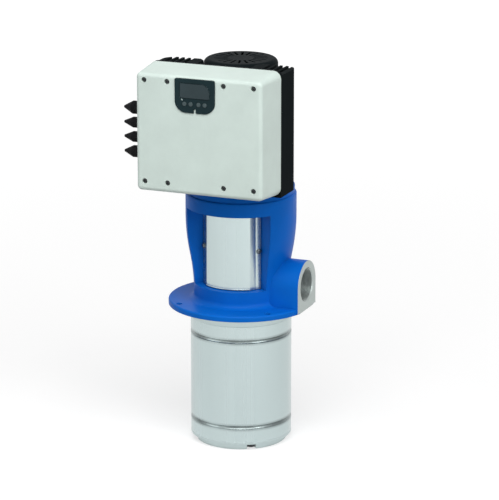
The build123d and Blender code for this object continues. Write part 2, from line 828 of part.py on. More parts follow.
# Seal cover on the turret, its stationary seat and its screws
with BuildPart() as seal_cover:
    seat_bore_r = seal_seat_r + running_fit
    with BuildSketch(Plane.XZ):
        with Locations((shaft_r + neck_gap, turret_top)):
            Rectangle(seal_cover_r - shaft_r - neck_gap, seal_cover_t, align=CORNER)
        with Locations((seat_bore_r, seal_face_z)):
            Rectangle(
                seal_bore_r - spigot_clear - seat_bore_r, turret_top - seal_face_z,
                align=CORNER,
            )
        with Locations((shaft_r + neck_gap, seal_face_z + seal_seat_h)):
            Rectangle(
                seat_bore_r - shaft_r, turret_top - seal_face_z - seal_seat_h,
                align=CORNER,
            )
    revolve(axis=Axis.Z)
    with Locations((0, 0, turret_top)):
        with PolarLocations(seal_screw_pcd_r, 4, start_angle=45):
            Cylinder(seal_screw_r + screw_hole_clear, 3 * seal_cover_t, mode=Mode.SUBTRACT)
seal_cover.part.label = "seal_cover"
export_step(seal_cover.part, "parts/seal_cover.step")

with BuildPart() as seal_seat:
    with BuildSketch(Plane.XZ):
        with Locations((seal_seat_bore, seal_face_z)):
            Rectangle(seal_seat_r - seal_seat_bore, seal_seat_h, align=CORNER)
    revolve(axis=Axis.Z)
seal_seat.part.label = "seal_seat"
export_step(seal_seat.part, "parts/seal_seat.step")

with BuildPart() as seal_cover_screws:
    with Locations((0, 0, turret_top + seal_cover_t)):
        with PolarLocations(seal_screw_pcd_r, 4, start_angle=45):
            Cylinder(
                seal_screw_head_r, seal_screw_head_h,
                align=UPWARD,
            )
            Cylinder(
                seal_screw_r - screw_fit, seal_cover_t + seal_screw_depth - screw_end_gap,
                align=DOWNWARD,
            )
seal_cover_screws.part.label = "seal_cover_screws"
export_step(seal_cover_screws.part, "parts/seal_cover_screws.step")


# Split coupling that clamps both shafts
with BuildPart() as coupling_half_front:
    with BuildSketch(Plane.XY.offset(coupling_z[0])):
        Circle(coupling_r)
        with Locations((0, -coupling_split / 2)):
            Rectangle(
                2 * coupling_r, coupling_flat_y - coupling_split / 2,
                align=(Align.CENTER, Align.MAX), mode=Mode.INTERSECT,
            )
    extrude(amount=coupling_z[1] - coupling_z[0])
    coupling_rim = coupling_half_front.faces().sort_by(Axis.Z)[-1].edges().filter_by(GeomType.CIRCLE)
    chamfer(coupling_rim, length=small_chamfer)
    with Locations((0, 0, shaft_joint_z)):
        Cylinder(
            shaft_r + shaft_fit, shaft_joint_z - coupling_z[0],
            align=DOWNWARD, mode=Mode.SUBTRACT,
        )
        Cylinder(
            motor_shaft_r + shaft_fit, coupling_z[1] - shaft_joint_z,
            align=UPWARD, mode=Mode.SUBTRACT,
        )
    screw_levels = (coupling_z[0] + coupling_screw_inset, coupling_z[1] - coupling_screw_inset)
    screw_spots = [(x, z) for x in (-coupling_screw_x, coupling_screw_x) for z in screw_levels]
    with BuildSketch(Plane.XZ.offset(coupling_head_y)):
        with Locations(*screw_spots):
            Circle(coupling_recess_r)
    extrude(amount=coupling_r, mode=Mode.SUBTRACT)
    with BuildSketch(Plane.XZ):
        with Locations(*screw_spots):
            Circle(coupling_screw_r + screw_hole_clear)
    extrude(amount=coupling_r, mode=Mode.SUBTRACT)
coupling_half_front.part.label = "coupling_half_front"
export_step(coupling_half_front.part, "parts/coupling_half_front.step")

with BuildPart() as coupling_half_rear:
    add(coupling_half_front.part.mirror(Plane.XZ))
coupling_half_rear.part.label = "coupling_half_rear"
export_step(coupling_half_rear.part, "parts/coupling_half_rear.step")

with BuildPart() as coupling_screws:
    with BuildSketch(Plane.XZ.offset(coupling_head_y)):
        with Locations(*screw_spots):
            Circle(coupling_head_r)
    extrude(amount=coupling_head_h)
    with BuildSketch(Plane.XZ.offset(coupling_head_y)):
        with Locations(*screw_spots):
            Circle(coupling_screw_r)
    extrude(amount=-2 * coupling_head_y - tie_nut_h)
    with BuildSketch(Plane.XZ.offset(-coupling_head_y)):
        with Locations(*screw_spots):
            RegularPolygon(tie_nut_af / 2, 6, major_radius=False)
    extrude(amount=-tie_nut_h)
coupling_screws.part.label = "coupling_screws"
export_step(coupling_screws.part, "parts/coupling_screws.step")


# Coupling guards: bent sheet whose panel stands forward between two screwed strips, its two ends rolled
with BuildPart() as coupling_guard_front:
    guard_bottom = window_z[0] + guard_gap
    guard_top = window_z[1] - guard_gap
    strip_r = guard_seat_r + guard_clear
    panel_r = strip_r + guard_raise
    guard_half_angle = window_half_angle - guard_gap
    slope_angle = guard_half_angle - guard_strip_angle
    panel_angle = slope_angle - guard_slope_angle
    with BuildSketch(Plane.XY.offset(guard_bottom)) as guard_section:
        with BuildLine():
            for strip, panel in ((strip_r, panel_r), (strip_r + guard_t, panel_r + guard_t)):
                CenterArc((0, 0), panel, -90 - panel_angle, 2 * panel_angle)
                for side in (-1, 1):
                    Line(from_front(side * panel_angle, panel, 0), from_front(side * slope_angle, strip, 0))
                    CenterArc((0, 0), strip, side * slope_angle - 90, side * guard_strip_angle)
            for side in (-1, 1):
                Line(
                    from_front(side * guard_half_angle, strip_r, 0),
                    from_front(side * guard_half_angle, strip_r + guard_t, 0),
                )
        make_face()
        bends = [v for v in guard_section.vertices() if abs(v.X) < strip_r * sin(radians(slope_angle + 1))]
        fillet(bends, radius=guard_bend_r)
    extrude(amount=guard_top - guard_bottom)
    bead_plane = Plane(
        origin=(0, 0, 0), x_dir=from_front(-panel_angle, 1, 0), z_dir=from_front(90 - panel_angle, -1, 0)
    )
    with BuildSketch(bead_plane):
        for level in (guard_bottom + guard_bead_r, guard_top - guard_bead_r):
            with Locations((panel_r + guard_t / 2, level)):
                Circle(guard_bead_r)
    revolve(axis=Axis.Z, revolution_arc=2 * panel_angle)
    for side in (-1, 1):
        spot = from_front(side * guard_screw_angle, 1, 0)
        with BuildSketch(Plane(origin=(0, 0, guard_mid_z), z_dir=spot)):
            Circle(guard_screw_r + screw_hole_clear)
        extrude(amount=flange_r, mode=Mode.SUBTRACT)
coupling_guard_front.part.label = "coupling_guard_front"
export_step(coupling_guard_front.part, "parts/coupling_guard_front.step")

with BuildPart() as coupling_guard_rear:
    add(coupling_guard_front.part.mirror(Plane.XZ))
coupling_guard_rear.part.label = "coupling_guard_rear"
export_step(coupling_guard_rear.part, "parts/coupling_guard_rear.step")

with BuildPart() as guard_screws:
    for angle in guard_screw_angles:
        spot = from_front(angle, 1, 0)
        head_seat = Plane(origin=(0, 0, guard_mid_z), z_dir=spot).offset(strip_r + guard_t)
        with BuildSketch(head_seat):
            Circle(guard_screw_head_r)
        extrude(amount=guard_screw_head_t)
        with BuildSketch(head_seat):
            Circle(guard_screw_r - screw_fit)
        extrude(amount=-guard_screw_len)
guard_screws.part.label = "guard_screws"
export_step(guard_screws.part, "parts/guard_screws.step")


# Motor: lower end shield with the flange that stands on the lantern
with BuildPart() as motor_flange_shield:
    spigot_z = lantern_h - register_h / 2
    bearing_top = lantern_h + bearing_de_lift + bearing_de_h
    with BuildSketch(Plane.XZ):
        with BuildLine():
            Polyline(
                (motor_seat_r + neck_gap, spigot_z),
                (register_r - running_fit, spigot_z),
                (register_r - running_fit, lantern_h),
                (motor_flange_r, lantern_h),
                (motor_flange_r, flange_face_z),
                (fin_r, flange_face_z),
                (fin_r, housing_z[0]),
                (housing_bore_r - running_fit, housing_z[0]),
                (housing_bore_r - running_fit, housing_z[0] + spigot_len),
                (bearing_de_r + bearing_hub_wall, housing_z[0] + spigot_len),
                (bearing_de_r + bearing_hub_wall, bearing_top + bearing_hub_rim),
                (bearing_de_r + stage_clear / 2, bearing_top + bearing_hub_rim),
                (bearing_de_r + stage_clear / 2, bearing_top - bearing_de_h),
                (motor_seat_r + neck_gap, bearing_top - bearing_de_h),
                close=True,
            )
        make_face()
    revolve(axis=Axis.Z)
    with Locations((0, 0, lantern_h)):
        with PolarLocations(motor_bolt_pcd_r, 4, start_angle=45):
            Cylinder(motor_bolt_r + screw_hole_clear, 4 * motor_flange_t, mode=Mode.SUBTRACT)
motor_flange_shield.part.label = "motor_flange_shield"
export_step(motor_flange_shield.part, "parts/motor_flange_shield.step")

with BuildPart() as motor_flange_bolts:
    with BuildSketch(Plane.XY.offset(flange_face_z)):
        with PolarLocations(motor_bolt_pcd_r, 4, start_angle=45):
            RegularPolygon(motor_bolt_head_af / 2, 6, major_radius=False)
    extrude(amount=motor_bolt_head_h)
    with BuildSketch(Plane.XY.offset(flange_face_z)):
        with PolarLocations(motor_bolt_pcd_r, 4, start_angle=45):
            Circle(motor_bolt_r - screw_fit)
    extrude(amount=-motor_flange_t - motor_bolt_depth + screw_end_gap)
motor_flange_bolts.part.label = "motor_flange_bolts"
export_step(motor_flange_bolts.part, "parts/motor_flange_bolts.step")


# Ball bearings, each with its two shields set back a little
def bearing_half(bore, outer, height, z):
    """Half section of a shielded ball bearing."""
    band = (outer - bore) / 4
    with BuildSketch(Plane.XZ, mode=Mode.PRIVATE) as half:
        with Locations((bore, z)):
            Rectangle(outer - bore, height, align=CORNER)
        with Locations((bore + band, z), (bore + band, z + height - bearing_shield_set)):
            Rectangle(2 * band, bearing_shield_set, align=CORNER, mode=Mode.SUBTRACT)
    return half.sketch


with BuildPart() as drive_end_bearing:
    add(bearing_half(motor_seat_r + shaft_fit, bearing_de_r, bearing_de_h, bearing_top - bearing_de_h))
    revolve(axis=Axis.Z)
drive_end_bearing.part.label = "drive_end_bearing"
export_step(drive_end_bearing.part, "parts/drive_end_bearing.step")

with BuildPart() as fan_end_bearing:
    fan_bearing_z = fan_shield_z + bearing_fe_lift
    add(bearing_half(motor_tail_r + shaft_fit, bearing_fe_r, bearing_fe_h, fan_bearing_z))
    revolve(axis=Axis.Z)
fan_end_bearing.part.label = "fan_end_bearing"
export_step(fan_end_bearing.part, "parts/fan_end_bearing.step")


# Finned motor housing with the seat for the drive on its front
with BuildPart() as stator_housing:
    housing_h = housing_z[1] - housing_z[0]
    with BuildSketch(Plane.XY.offset(housing_z[0])):
        Circle(housing_r)
        fin_span = 360 - 2 * fin_free_half_angle
        fin_count = int(fin_span // fin_step)
        fin_first = -90 + fin_free_half_angle
        fin_mid_r = (fin_r + housing_r) / 2 - overlap
        with PolarLocations(fin_mid_r, fin_count + 1, fin_first, fin_count * fin_step):
            Rectangle(fin_r - housing_r + 2 * overlap, fin_t)
    extrude(amount=housing_h)
    with BuildSketch(Plane.XZ.offset(pad_y)):
        with Locations((0, (pad_z[0] + pad_z[1]) / 2)):
            RectangleRounded(pad_w, pad_z[1] - pad_z[0], pad_round)
    extrude(amount=-pad_y + housing_bore_r / 2)
    with BuildSketch(Plane.XY.offset(housing_z[0])):
        Circle(housing_bore_r)
    extrude(amount=housing_h, mode=Mode.SUBTRACT)
    with BuildSketch(Plane.XZ.offset(pad_y)):
        with Locations(*drive_spots):
            Circle(drive_screw_r)
    extrude(amount=-drive_screw_depth, mode=Mode.SUBTRACT)
stator_housing.part.label = "stator_housing"
export_step(stator_housing.part, "parts/stator_housing.step")

with BuildPart() as stator_core:
    with BuildSketch(Plane.XY.offset(core_z[0])):
        Circle(housing_bore_r - running_fit)
        Circle(core_bore_r, mode=Mode.SUBTRACT)
    extrude(amount=core_z[1] - core_z[0])
stator_core.part.label = "stator_core"
export_step(stator_core.part, "parts/stator_core.step")

with BuildPart() as stator_windings:
    with BuildSketch(Plane.XZ) as winding_half:
        for z in (core_z[0] - winding_h, core_z[1]):
            with Locations((winding_r[0], z)):
                Rectangle(winding_r[1] - winding_r[0], winding_h, align=CORNER)
        ends = winding_half.vertices().filter_by(
            lambda v: v.Y < core_z[0] - 1 or v.Y > core_z[1] + 1
        )
        fillet(ends, radius=winding_round)
    revolve(axis=Axis.Z)
stator_windings.part.label = "stator_windings"
export_step(stator_windings.part, "parts/stator_windings.step")

with BuildPart() as fan_end_shield:
    hub_outer = bearing_fe_r + bearing_hub_wall
    with BuildSketch(Plane.XZ):
        with BuildLine():
            Polyline(
                (end_shield_hole_r, fan_bearing_z + bearing_fe_h),
                (end_shield_hole_r, fan_bearing_z + bearing_fe_h + end_shield_cap),
                (hub_outer, fan_bearing_z + bearing_fe_h + end_shield_cap),
                (hub_outer, fan_shield_z + end_shield_t),
                (end_shield_r, fan_shield_z + end_shield_t),
                (end_shield_r, fan_shield_z),
                (housing_bore_r - running_fit, fan_shield_z),
                (housing_bore_r - running_fit, fan_shield_z - spigot_len),
                (housing_bore_r - bearing_hub_wall, fan_shield_z - spigot_len),
                (housing_bore_r - bearing_hub_wall, fan_shield_z + end_shield_web),
                (bearing_fe_r + stage_clear / 2, fan_shield_z + end_shield_web),
                (bearing_fe_r + stage_clear / 2, fan_bearing_z + bearing_fe_h),
                close=True,
            )
        make_face()
    revolve(axis=Axis.Z)
    cowl_screw_z = fan_shield_z + end_shield_t - cowl_screw_drop
    for angle in cowl_screw_angles:
        rim = Plane(origin=(0, 0, cowl_screw_z), z_dir=from_front(angle, 1, 0)).offset(end_shield_r)
        with BuildSketch(rim):
            Circle(cowl_screw_r)
        extrude(amount=-cowl_screw_depth, mode=Mode.SUBTRACT)
fan_end_shield.part.label = "fan_end_shield"
export_step(fan_end_shield.part, "parts/fan_end_shield.step")


# Motor shaft, rotor and fan
tail_top = fan_z + fan_h + motor_tail_end
with BuildPart() as motor_shaft:
    with BuildSketch(Plane.XZ):
        with BuildLine():
            Polyline(
                (0, shaft_joint_z + shaft_joint_gap / 2),
                (motor_shaft_r, shaft_joint_z + shaft_joint_gap / 2),
                (motor_shaft_r, spigot_z),
                (motor_seat_r, spigot_z),
                (motor_seat_r, bearing_top),
                (motor_mid_r, bearing_top),
                (motor_mid_r, fan_bearing_z),
                (motor_tail_r, fan_bearing_z),
                (motor_tail_r, tail_top),
                (0, tail_top),
                close=True,
            )
        make_face()
    revolve(axis=Axis.Z)
motor_shaft.part.label = "motor_shaft"
export_step(motor_shaft.part, "parts/motor_shaft.step")

with BuildPart() as rotor_core:
    with BuildSketch(Plane.XY.offset(core_z[0])):
        Circle(core_bore_r - air_gap)
        Circle(motor_mid_r + shaft_fit, mode=Mode.SUBTRACT)
    extrude(amount=core_z[1] - core_z[0])
rotor_core.part.label = "rotor_core"
export_step(rotor_core.part, "parts/rotor_core.step")

with BuildPart() as fan:
    with BuildSketch(Plane.XY.offset(fan_z)):
        Circle(fan_r)
        Circle(motor_tail_r + shaft_fit, mode=Mode.SUBTRACT)
    extrude(amount=fan_blade_t)
    with BuildSketch(Plane.XY.offset(fan_z)):
        Circle(fan_hub_r)
        Circle(motor_tail_r + shaft_fit, mode=Mode.SUBTRACT)
    extrude(amount=fan_h)
    with BuildSketch(Plane.XY.offset(fan_z)):
        with PolarLocations((fan_r + fan_hub_r) / 2 - overlap, fan_blades):
            Rectangle(fan_r - fan_hub_r, fan_blade_t)
    extrude(amount=fan_h)
fan.part.label = "fan"
export_step(fan.part, "parts/fan.step")

with BuildPart() as fan_cowl:
    with BuildSketch(Plane.XY.offset(cowl_skirt_z)):
        Circle(cowl_r)
    extrude(amount=cowl_top - cowl_skirt_z)
    fillet(fan_cowl.edges().sort_by(Axis.Z)[-1], radius=cowl_round)
    offset(amount=-cowl_wall, openings=fan_cowl.faces().sort_by(Axis.Z)[0])
    with BuildSketch(Plane.XY.offset(cowl_top - 2 * cowl_wall)):
        with PolarLocations(cowl_slot_mid_r, cowl_slots):
            SlotOverall(cowl_slot_len, cowl_slot_w)
    extrude(amount=3 * cowl_wall, mode=Mode.SUBTRACT)
    for angle in cowl_screw_angles:
        with BuildSketch(Plane(origin=(0, 0, cowl_screw_z), z_dir=from_front(angle, 1, 0))):
            Circle(cowl_screw_r + stage_clear)
        extrude(amount=2 * cowl_r, mode=Mode.SUBTRACT)
fan_cowl.part.label = "fan_cowl"
export_step(fan_cowl.part, "parts/fan_cowl.step")

with BuildPart() as cowl_screws:
    for angle in cowl_screw_angles:
        head_seat = Plane(origin=(0, 0, cowl_screw_z), z_dir=from_front(angle, 1, 0)).offset(cowl_r)
        with BuildSketch(head_seat):
            Circle(2 * cowl_screw_r)
        extrude(amount=cowl_screw_r)
        with BuildSketch(head_seat):
            Circle(cowl_screw_r - screw_fit)
        extrude(amount=end_shield_r - cowl_r - cowl_screw_depth + screw_end_gap)
cowl_screws.part.label = "cowl_screws"
export_step(cowl_screws.part, "parts/cowl_screws.step")


# Drive: heat sink that straddles the motor
with BuildPart() as heat_sink:
    with BuildSketch(Plane.XY.offset(sink_z[0])) as sink_plan:
        with Locations((0, -drive_joint_y)):
            Rectangle(cover_w, drive_joint_y - sink_back_y, align=(Align.CENTER, Align.MIN))
        fillet(sink_plan.vertices().group_by(Axis.Y)[-1], radius=sink_corner)
        Circle(sink_saddle_r, mode=Mode.SUBTRACT)
        Rectangle(pad_w + 2 * sink_pad_gap, 2 * pad_y, mode=Mode.SUBTRACT)
        with Locations(*[(x * s, -sink_root_y) for x in sink_slot_x for s in (-1, 1)]):
            Rectangle(
                sink_slot_w, sink_root_y, align=(Align.CENTER, Align.MIN), mode=Mode.SUBTRACT,
            )
    extrude(amount=sink_z[1] - sink_z[0])
    with BuildSketch(Plane.XZ.offset(drive_joint_y)):
        with Locations((0, cover_mid_z)):
            RectangleRounded(cover_w, cover_h, cover_corner)
    extrude(amount=-sink_plate_t)
    with BuildSketch(Plane.XZ.offset(drive_joint_y)):
        with Locations((0, sink_pocket_mid_z)):
            RectangleRounded(sink_pocket[0], sink_pocket[1], sink_pocket_round)
    extrude(amount=-sink_pocket[2], mode=Mode.SUBTRACT)
    with BuildSketch(Plane.XZ.offset(drive_joint_y - sink_pocket[2])):
        with Locations((0, sink_pocket_mid_z)):
            with GridLocations(2 * board_post[0], 2 * board_post[1], 2, 2):
                Circle(board_post_r)
    extrude(amount=board_y - drive_joint_y + sink_pocket[2])
    with BuildSketch(Plane.XZ.offset(drive_joint_y)):
        with Locations(*cover_spots):
            Circle(cover_screw_r)
    extrude(amount=-cover_screw_depth, mode=Mode.SUBTRACT)
    with BuildSketch(Plane.XZ.offset(drive_joint_y)):
        with Locations(*drive_spots):
            Circle(drive_screw_r + screw_hole_clear)
    extrude(amount=pad_y - drive_joint_y, mode=Mode.SUBTRACT)
heat_sink.part.label = "heat_sink"
export_step(heat_sink.part, "parts/heat_sink.step")

with BuildPart() as drive_screws:
    screw_floor = drive_joint_y - sink_pocket[2]
    with BuildSketch(Plane.XZ.offset(screw_floor)):
        with Locations(*drive_spots):
            Circle(drive_screw_head_r)
    extrude(amount=drive_screw_head_h)
    with BuildSketch(Plane.XZ.offset(screw_floor)):
        with Locations(*drive_spots):
            Circle(drive_screw_r - screw_fit)
    extrude(amount=pad_y - drive_screw_depth - screw_floor + screw_end_gap)
drive_screws.part.label = "drive_screws"
export_step(drive_screws.part, "parts/drive_screws.step")

with BuildPart() as drive_gasket:
    gasket_out = cover_w - 2 * cover_wall - 2 * gasket_clear
    gasket_high = cover_h - 2 * cover_wall - 2 * gasket_clear
    with BuildSketch(Plane.XZ.offset(drive_joint_y)):
        with Locations((0, cover_mid_z)):
            RectangleRounded(gasket_out - 2 * gasket_t, gasket_high - 2 * gasket_t, cover_corner - cover_wall)
            RectangleRounded(
                gasket_out - 2 * gasket_w, gasket_high - 2 * gasket_w,
                cover_corner - cover_wall - gasket_t, mode=Mode.SUBTRACT,
            )
    extrude(amount=gasket_t)
drive_gasket.part.label = "drive_gasket"
export_step(drive_gasket.part, "parts/drive_gasket.step")


# Outline of the keypad on the cover's front, straight on top and round below
def keypad_outline(grow, notch_grow):
    """Keypad outline, larger all round by grow, with its notch at the bottom."""
    with BuildSketch(mode=Mode.PRIVATE) as outline:
        with Locations((pad_centre_x, keypad_mid_z)):
            Rectangle(keypad_w + 2 * grow, keypad_h + 2 * grow)
        low = outline.vertices().group_by(Axis.Y)[0]
        fillet(low, radius=keypad_lower_round + grow)
        high = outline.vertices().group_by(Axis.Y)[-1]
        fillet(high, radius=keypad_upper_round + grow)
        with Locations((pad_centre_x, keypad_z[0] - grow)):
            Rectangle(
                keypad_notch[0] + 2 * notch_grow, keypad_notch[1] + grow + notch_grow,
                align=(Align.CENTER, Align.MIN), mode=Mode.SUBTRACT,
            )
    return outline.sketch


# Drive cover: drafted box, closed in front
with BuildPart() as drive_cover:
    with BuildSketch(Plane.XZ.offset(drive_joint_y)):
        with Locations((0, cover_mid_z)):
            RectangleRounded(cover_w, cover_h, cover_corner)
    extrude(amount=cover_depth, taper=cover_draft)
    fillet(drive_cover.faces().sort_by(Axis.Y)[0].edges(), radius=cover_edge)
    with BuildSketch(Plane.XZ.offset(drive_joint_y)):
        with Locations((0, cover_mid_z)):
            RectangleRounded(cover_w - 2 * cover_wall, cover_h - 2 * cover_wall, cover_corner - cover_wall)
    extrude(amount=cover_depth - cover_wall, taper=cover_draft, mode=Mode.SUBTRACT)
    # Posts for the cover screws
    with BuildSketch(Plane.XZ.offset(drive_joint_y)):
        with Locations(*cover_spots):
            Circle(cover_post_r)
    extrude(amount=cover_depth - cover_wall / 2)
    with BuildSketch(Plane.XZ.offset(cover_face_y - cover_screw_recess)):
        with Locations(*cover_spots):
            Circle(cover_screw_recess_r)
    extrude(amount=cover_screw_recess, mode=Mode.SUBTRACT)
    with BuildSketch(Plane.XZ.offset(drive_joint_y)):
        with Locations(*cover_spots):
            Circle(cover_screw_r + screw_hole_clear)
    extrude(amount=cover_depth, mode=Mode.SUBTRACT)
    # Opening for the keypad
    with BuildSketch(Plane.XZ.offset(cover_face_y - 2 * cover_wall)):
        add(keypad_outline(keypad_clear, -keypad_clear))
    extrude(amount=3 * cover_wall, mode=Mode.SUBTRACT)
    # Flat seat for the glands on the drafted left wall
    with BuildSketch(Plane.YZ.offset(-gland_pad_x)):
        with Locations((-gland_y, (gland_z[0] + gland_z[-1]) / 2)):
            RectangleRounded(gland_pad_w, gland_z[0] - gland_z[-1] + 2 * gland_pad_margin, gland_pad_round)
    extrude(amount=gland_stub - cover_wall)
    with BuildSketch(Plane.YZ.offset(-gland_pad_x)):
        for z, r in zip(gland_z, gland_r):
            with Locations((-gland_y, z)):
                Circle(gland_thread_share * r + running_fit)
    extrude(amount=2 * gland_stub, mode=Mode.SUBTRACT)
drive_cover.part.label = "drive_cover"
export_step(drive_cover.part, "parts/drive_cover.step")

with BuildPart() as cover_screws:
    with BuildSketch(Plane.XZ.offset(cover_face_y - cover_screw_recess)):
        with Locations(*cover_spots):
            Circle(cover_screw_head_r)
    extrude(amount=cover_screw_head_t)
    with BuildSketch(Plane.XZ.offset(cover_face_y - cover_screw_recess)):
        with Locations(*cover_spots):
            Circle(cover_screw_r - screw_fit)
    extrude(amount=cover_screw_recess - cover_depth - cover_screw_depth + screw_end_gap)
cover_screws.part.label = "cover_screws"
export_step(cover_screws.part, "parts/cover_screws.step")

with BuildPart() as circuit_board:
    with BuildSketch(Plane.XZ.offset(board_y)):
        with Locations((0, sink_pocket_mid_z)):
            Rectangle(board_size[0], board_size[1])
    extrude(amount=board_size[2])
    with BuildSketch(Plane.XZ.offset(board_y + board_size[2])):
        with Locations(*[(x, sink_pocket_mid_z + rise) for x, rise in capacitor_spots]):
            Circle(capacitor_r)
    extrude(amount=capacitor_h)
    with BuildSketch(Plane.XZ.offset(board_y + board_size[2])):
        for x, rise, width, height in block_spots:
            with Locations((x, sink_pocket_mid_z + rise)):
                Rectangle(width, height)
    extrude(amount=block_h)
circuit_board.part.label = "circuit_board"
export_step(circuit_board.part, "parts/circuit_board.step")


# Keypad with its window and buttons
keypad_face_y = cover_face_y + keypad_proud
button_spots = [(x, button_z) for x in button_x]
with BuildPart() as keypad_panel:
    keypad_back_y = cover_face_y - cover_wall - keypad_lip_t
    with BuildSketch(Plane.XZ.offset(keypad_back_y)):
        add(keypad_outline(0, 0))
    extrude(amount=keypad_face_y - keypad_back_y)
    with BuildSketch(Plane.XZ.offset(keypad_back_y)):
        add(keypad_outline(keypad_lip, 0))
        with Locations((pad_centre_x, keypad_z[1])):
            Rectangle(2 * keypad_w, keypad_w, align=(Align.CENTER, Align.MIN), mode=Mode.SUBTRACT)
    extrude(amount=keypad_lip_t - stage_clear)
    with BuildSketch(Plane.XZ.offset(keypad_back_y)):
        add(keypad_outline(-keypad_wall, keypad_wall))
    extrude(amount=keypad_face_y - keypad_plate_t - keypad_back_y, mode=Mode.SUBTRACT)
    with BuildSketch(Plane.XZ.offset(keypad_face_y - display_t + display_proud)) as display_pocket:
        with Locations((pad_centre_x, display_mid_z)):
            Rectangle(display_w, display_h)
        corner_order = display_pocket.vertices().sort_by(Axis.Y)
        fillet(corner_order[:2], radius=display_round)
        upper = display_pocket.vertices().group_by(Axis.Y)[-1].sort_by(Axis.X)
        fillet(upper[-1], radius=display_big_round)
    extrude(amount=display_t, mode=Mode.SUBTRACT)
    with BuildSketch(Plane.XZ.offset(keypad_back_y)):
        with Locations(*button_spots):
            Circle(button_r + button_gap)
    extrude(amount=2 * keypad_plate_t + cover_wall + keypad_lip_t, mode=Mode.SUBTRACT)
keypad_panel.part.label = "keypad_panel"
export_step(keypad_panel.part, "parts/keypad_panel.step")

with BuildPart() as display_window:
    with BuildSketch(Plane.XZ.offset(keypad_face_y - display_t + display_proud)) as display_shape:
        with Locations((pad_centre_x, display_mid_z)):
            Rectangle(display_w - 2 * stage_clear, display_h - 2 * stage_clear)
        fillet(display_shape.vertices().sort_by(Axis.Y)[:2], radius=display_round)
        upper = display_shape.vertices().group_by(Axis.Y)[-1].sort_by(Axis.X)
        fillet(upper[-1], radius=display_big_round)
    extrude(amount=display_t)
display_window.part.label = "display_window"
export_step(display_window.part, "parts/display_window.step")

button_names = [f"keypad_button_{i + 1}" for i in range(len(button_x))]
for name, x in zip(button_names, button_x):
    with BuildPart() as keypad_button:
        flange_y = keypad_face_y - keypad_plate_t - stage_clear
        with BuildSketch(Plane.XZ.offset(flange_y)):
            with Locations((x, button_z)):
                Circle(button_r)
        extrude(amount=keypad_face_y + button_proud - flange_y)
        with BuildSketch(Plane.XZ.offset(flange_y)):
            with Locations((x, button_z)):
                Circle(button_flange_r)
        extrude(amount=-button_flange_t)
        fillet(keypad_button.faces().sort_by(Axis.Y)[0].edges(), radius=button_edge)
    keypad_button.part.label = name
    export_step(keypad_button.part, f"parts/{name}.step")


# Cable glands: hexagon bodies screwed into the wall, and their pointed caps
with BuildPart() as gland_bodies:
    for z, r in zip(gland_z, gland_r):
        with BuildSketch(Plane.YZ.offset(-gland_pad_x)):
            with Locations((-gland_y, z)):
                RegularPolygon(r, 6)
        extrude(amount=-gland_hex_h)
        with BuildSketch(Plane.YZ.offset(-gland_pad_x)):
            with Locations((-gland_y, z)):
                Circle(gland_thread_share * r)
        extrude(amount=gland_stub)
gland_bodies.part.label = "gland_bodies"
export_step(gland_bodies.part, "parts/gland_bodies.step")

with BuildPart() as gland_caps:
    for z, r in zip(gland_z, gland_r):
        cap_seat = (-gland_pad_x - gland_hex_h, -gland_y, z)
        cap_r = gland_cap_share * r
        with BuildSketch(Plane(origin=cap_seat, x_dir=(0, 0, 1), z_dir=(0, -1, 0))):
            with BuildLine():
                Polyline(
                    (0, gland_cap_len), (0, 0), (cap_r, 0), (cap_r, gland_skirt_share * gland_cap_len),
                    (gland_tip_r, gland_cap_len), close=True,
                )
            make_face()
        revolve(axis=Axis(cap_seat, (-1, 0, 0)))
gland_caps.part.label = "gland_caps"
export_step(gland_caps.part, "parts/gland_caps.step")
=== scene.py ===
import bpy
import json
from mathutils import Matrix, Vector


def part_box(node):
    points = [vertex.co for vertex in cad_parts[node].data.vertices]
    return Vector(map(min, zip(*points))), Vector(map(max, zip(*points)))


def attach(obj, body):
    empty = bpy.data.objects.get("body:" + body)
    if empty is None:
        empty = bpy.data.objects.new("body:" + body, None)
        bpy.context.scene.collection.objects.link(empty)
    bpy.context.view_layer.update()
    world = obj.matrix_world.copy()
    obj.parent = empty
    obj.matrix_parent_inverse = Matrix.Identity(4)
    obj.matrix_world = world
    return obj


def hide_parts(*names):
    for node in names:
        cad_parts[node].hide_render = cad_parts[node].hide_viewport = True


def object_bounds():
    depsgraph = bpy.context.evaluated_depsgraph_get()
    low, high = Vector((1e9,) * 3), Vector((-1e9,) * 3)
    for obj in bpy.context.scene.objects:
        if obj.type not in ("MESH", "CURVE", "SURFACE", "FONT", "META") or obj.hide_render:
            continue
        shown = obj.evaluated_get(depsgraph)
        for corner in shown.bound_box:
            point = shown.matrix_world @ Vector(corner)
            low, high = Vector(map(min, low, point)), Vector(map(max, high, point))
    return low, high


bl_info = {
    "name": "Immersible multistage pump",
    "version": (1, 0, 0),
    "blender": (4, 5, 0),
    "location": "View3D > Sidebar > Pump",
    "description": "Finishes and fine pieces of a vertical multistage pump with a motor-mounted drive",
    "category": "Object",
}

import json
import math

import bmesh
import bpy
from bpy.props import FloatProperty, FloatVectorProperty, IntProperty, PointerProperty
from mathutils import Matrix, Vector

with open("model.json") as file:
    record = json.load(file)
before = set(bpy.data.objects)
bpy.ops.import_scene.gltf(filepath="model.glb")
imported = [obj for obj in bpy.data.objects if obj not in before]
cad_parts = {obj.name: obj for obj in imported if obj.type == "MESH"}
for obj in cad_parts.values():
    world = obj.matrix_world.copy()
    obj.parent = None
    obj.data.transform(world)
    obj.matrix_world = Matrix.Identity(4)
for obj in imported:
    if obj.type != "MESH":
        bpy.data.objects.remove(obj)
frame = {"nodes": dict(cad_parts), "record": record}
cad_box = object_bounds()

# CAD nodes of each material slot of the record
SLOT_NODES = {}
for entry in frame["record"]["subparts"]:
    SLOT_NODES.setdefault(entry["material_slot"], []).append(entry["node"])

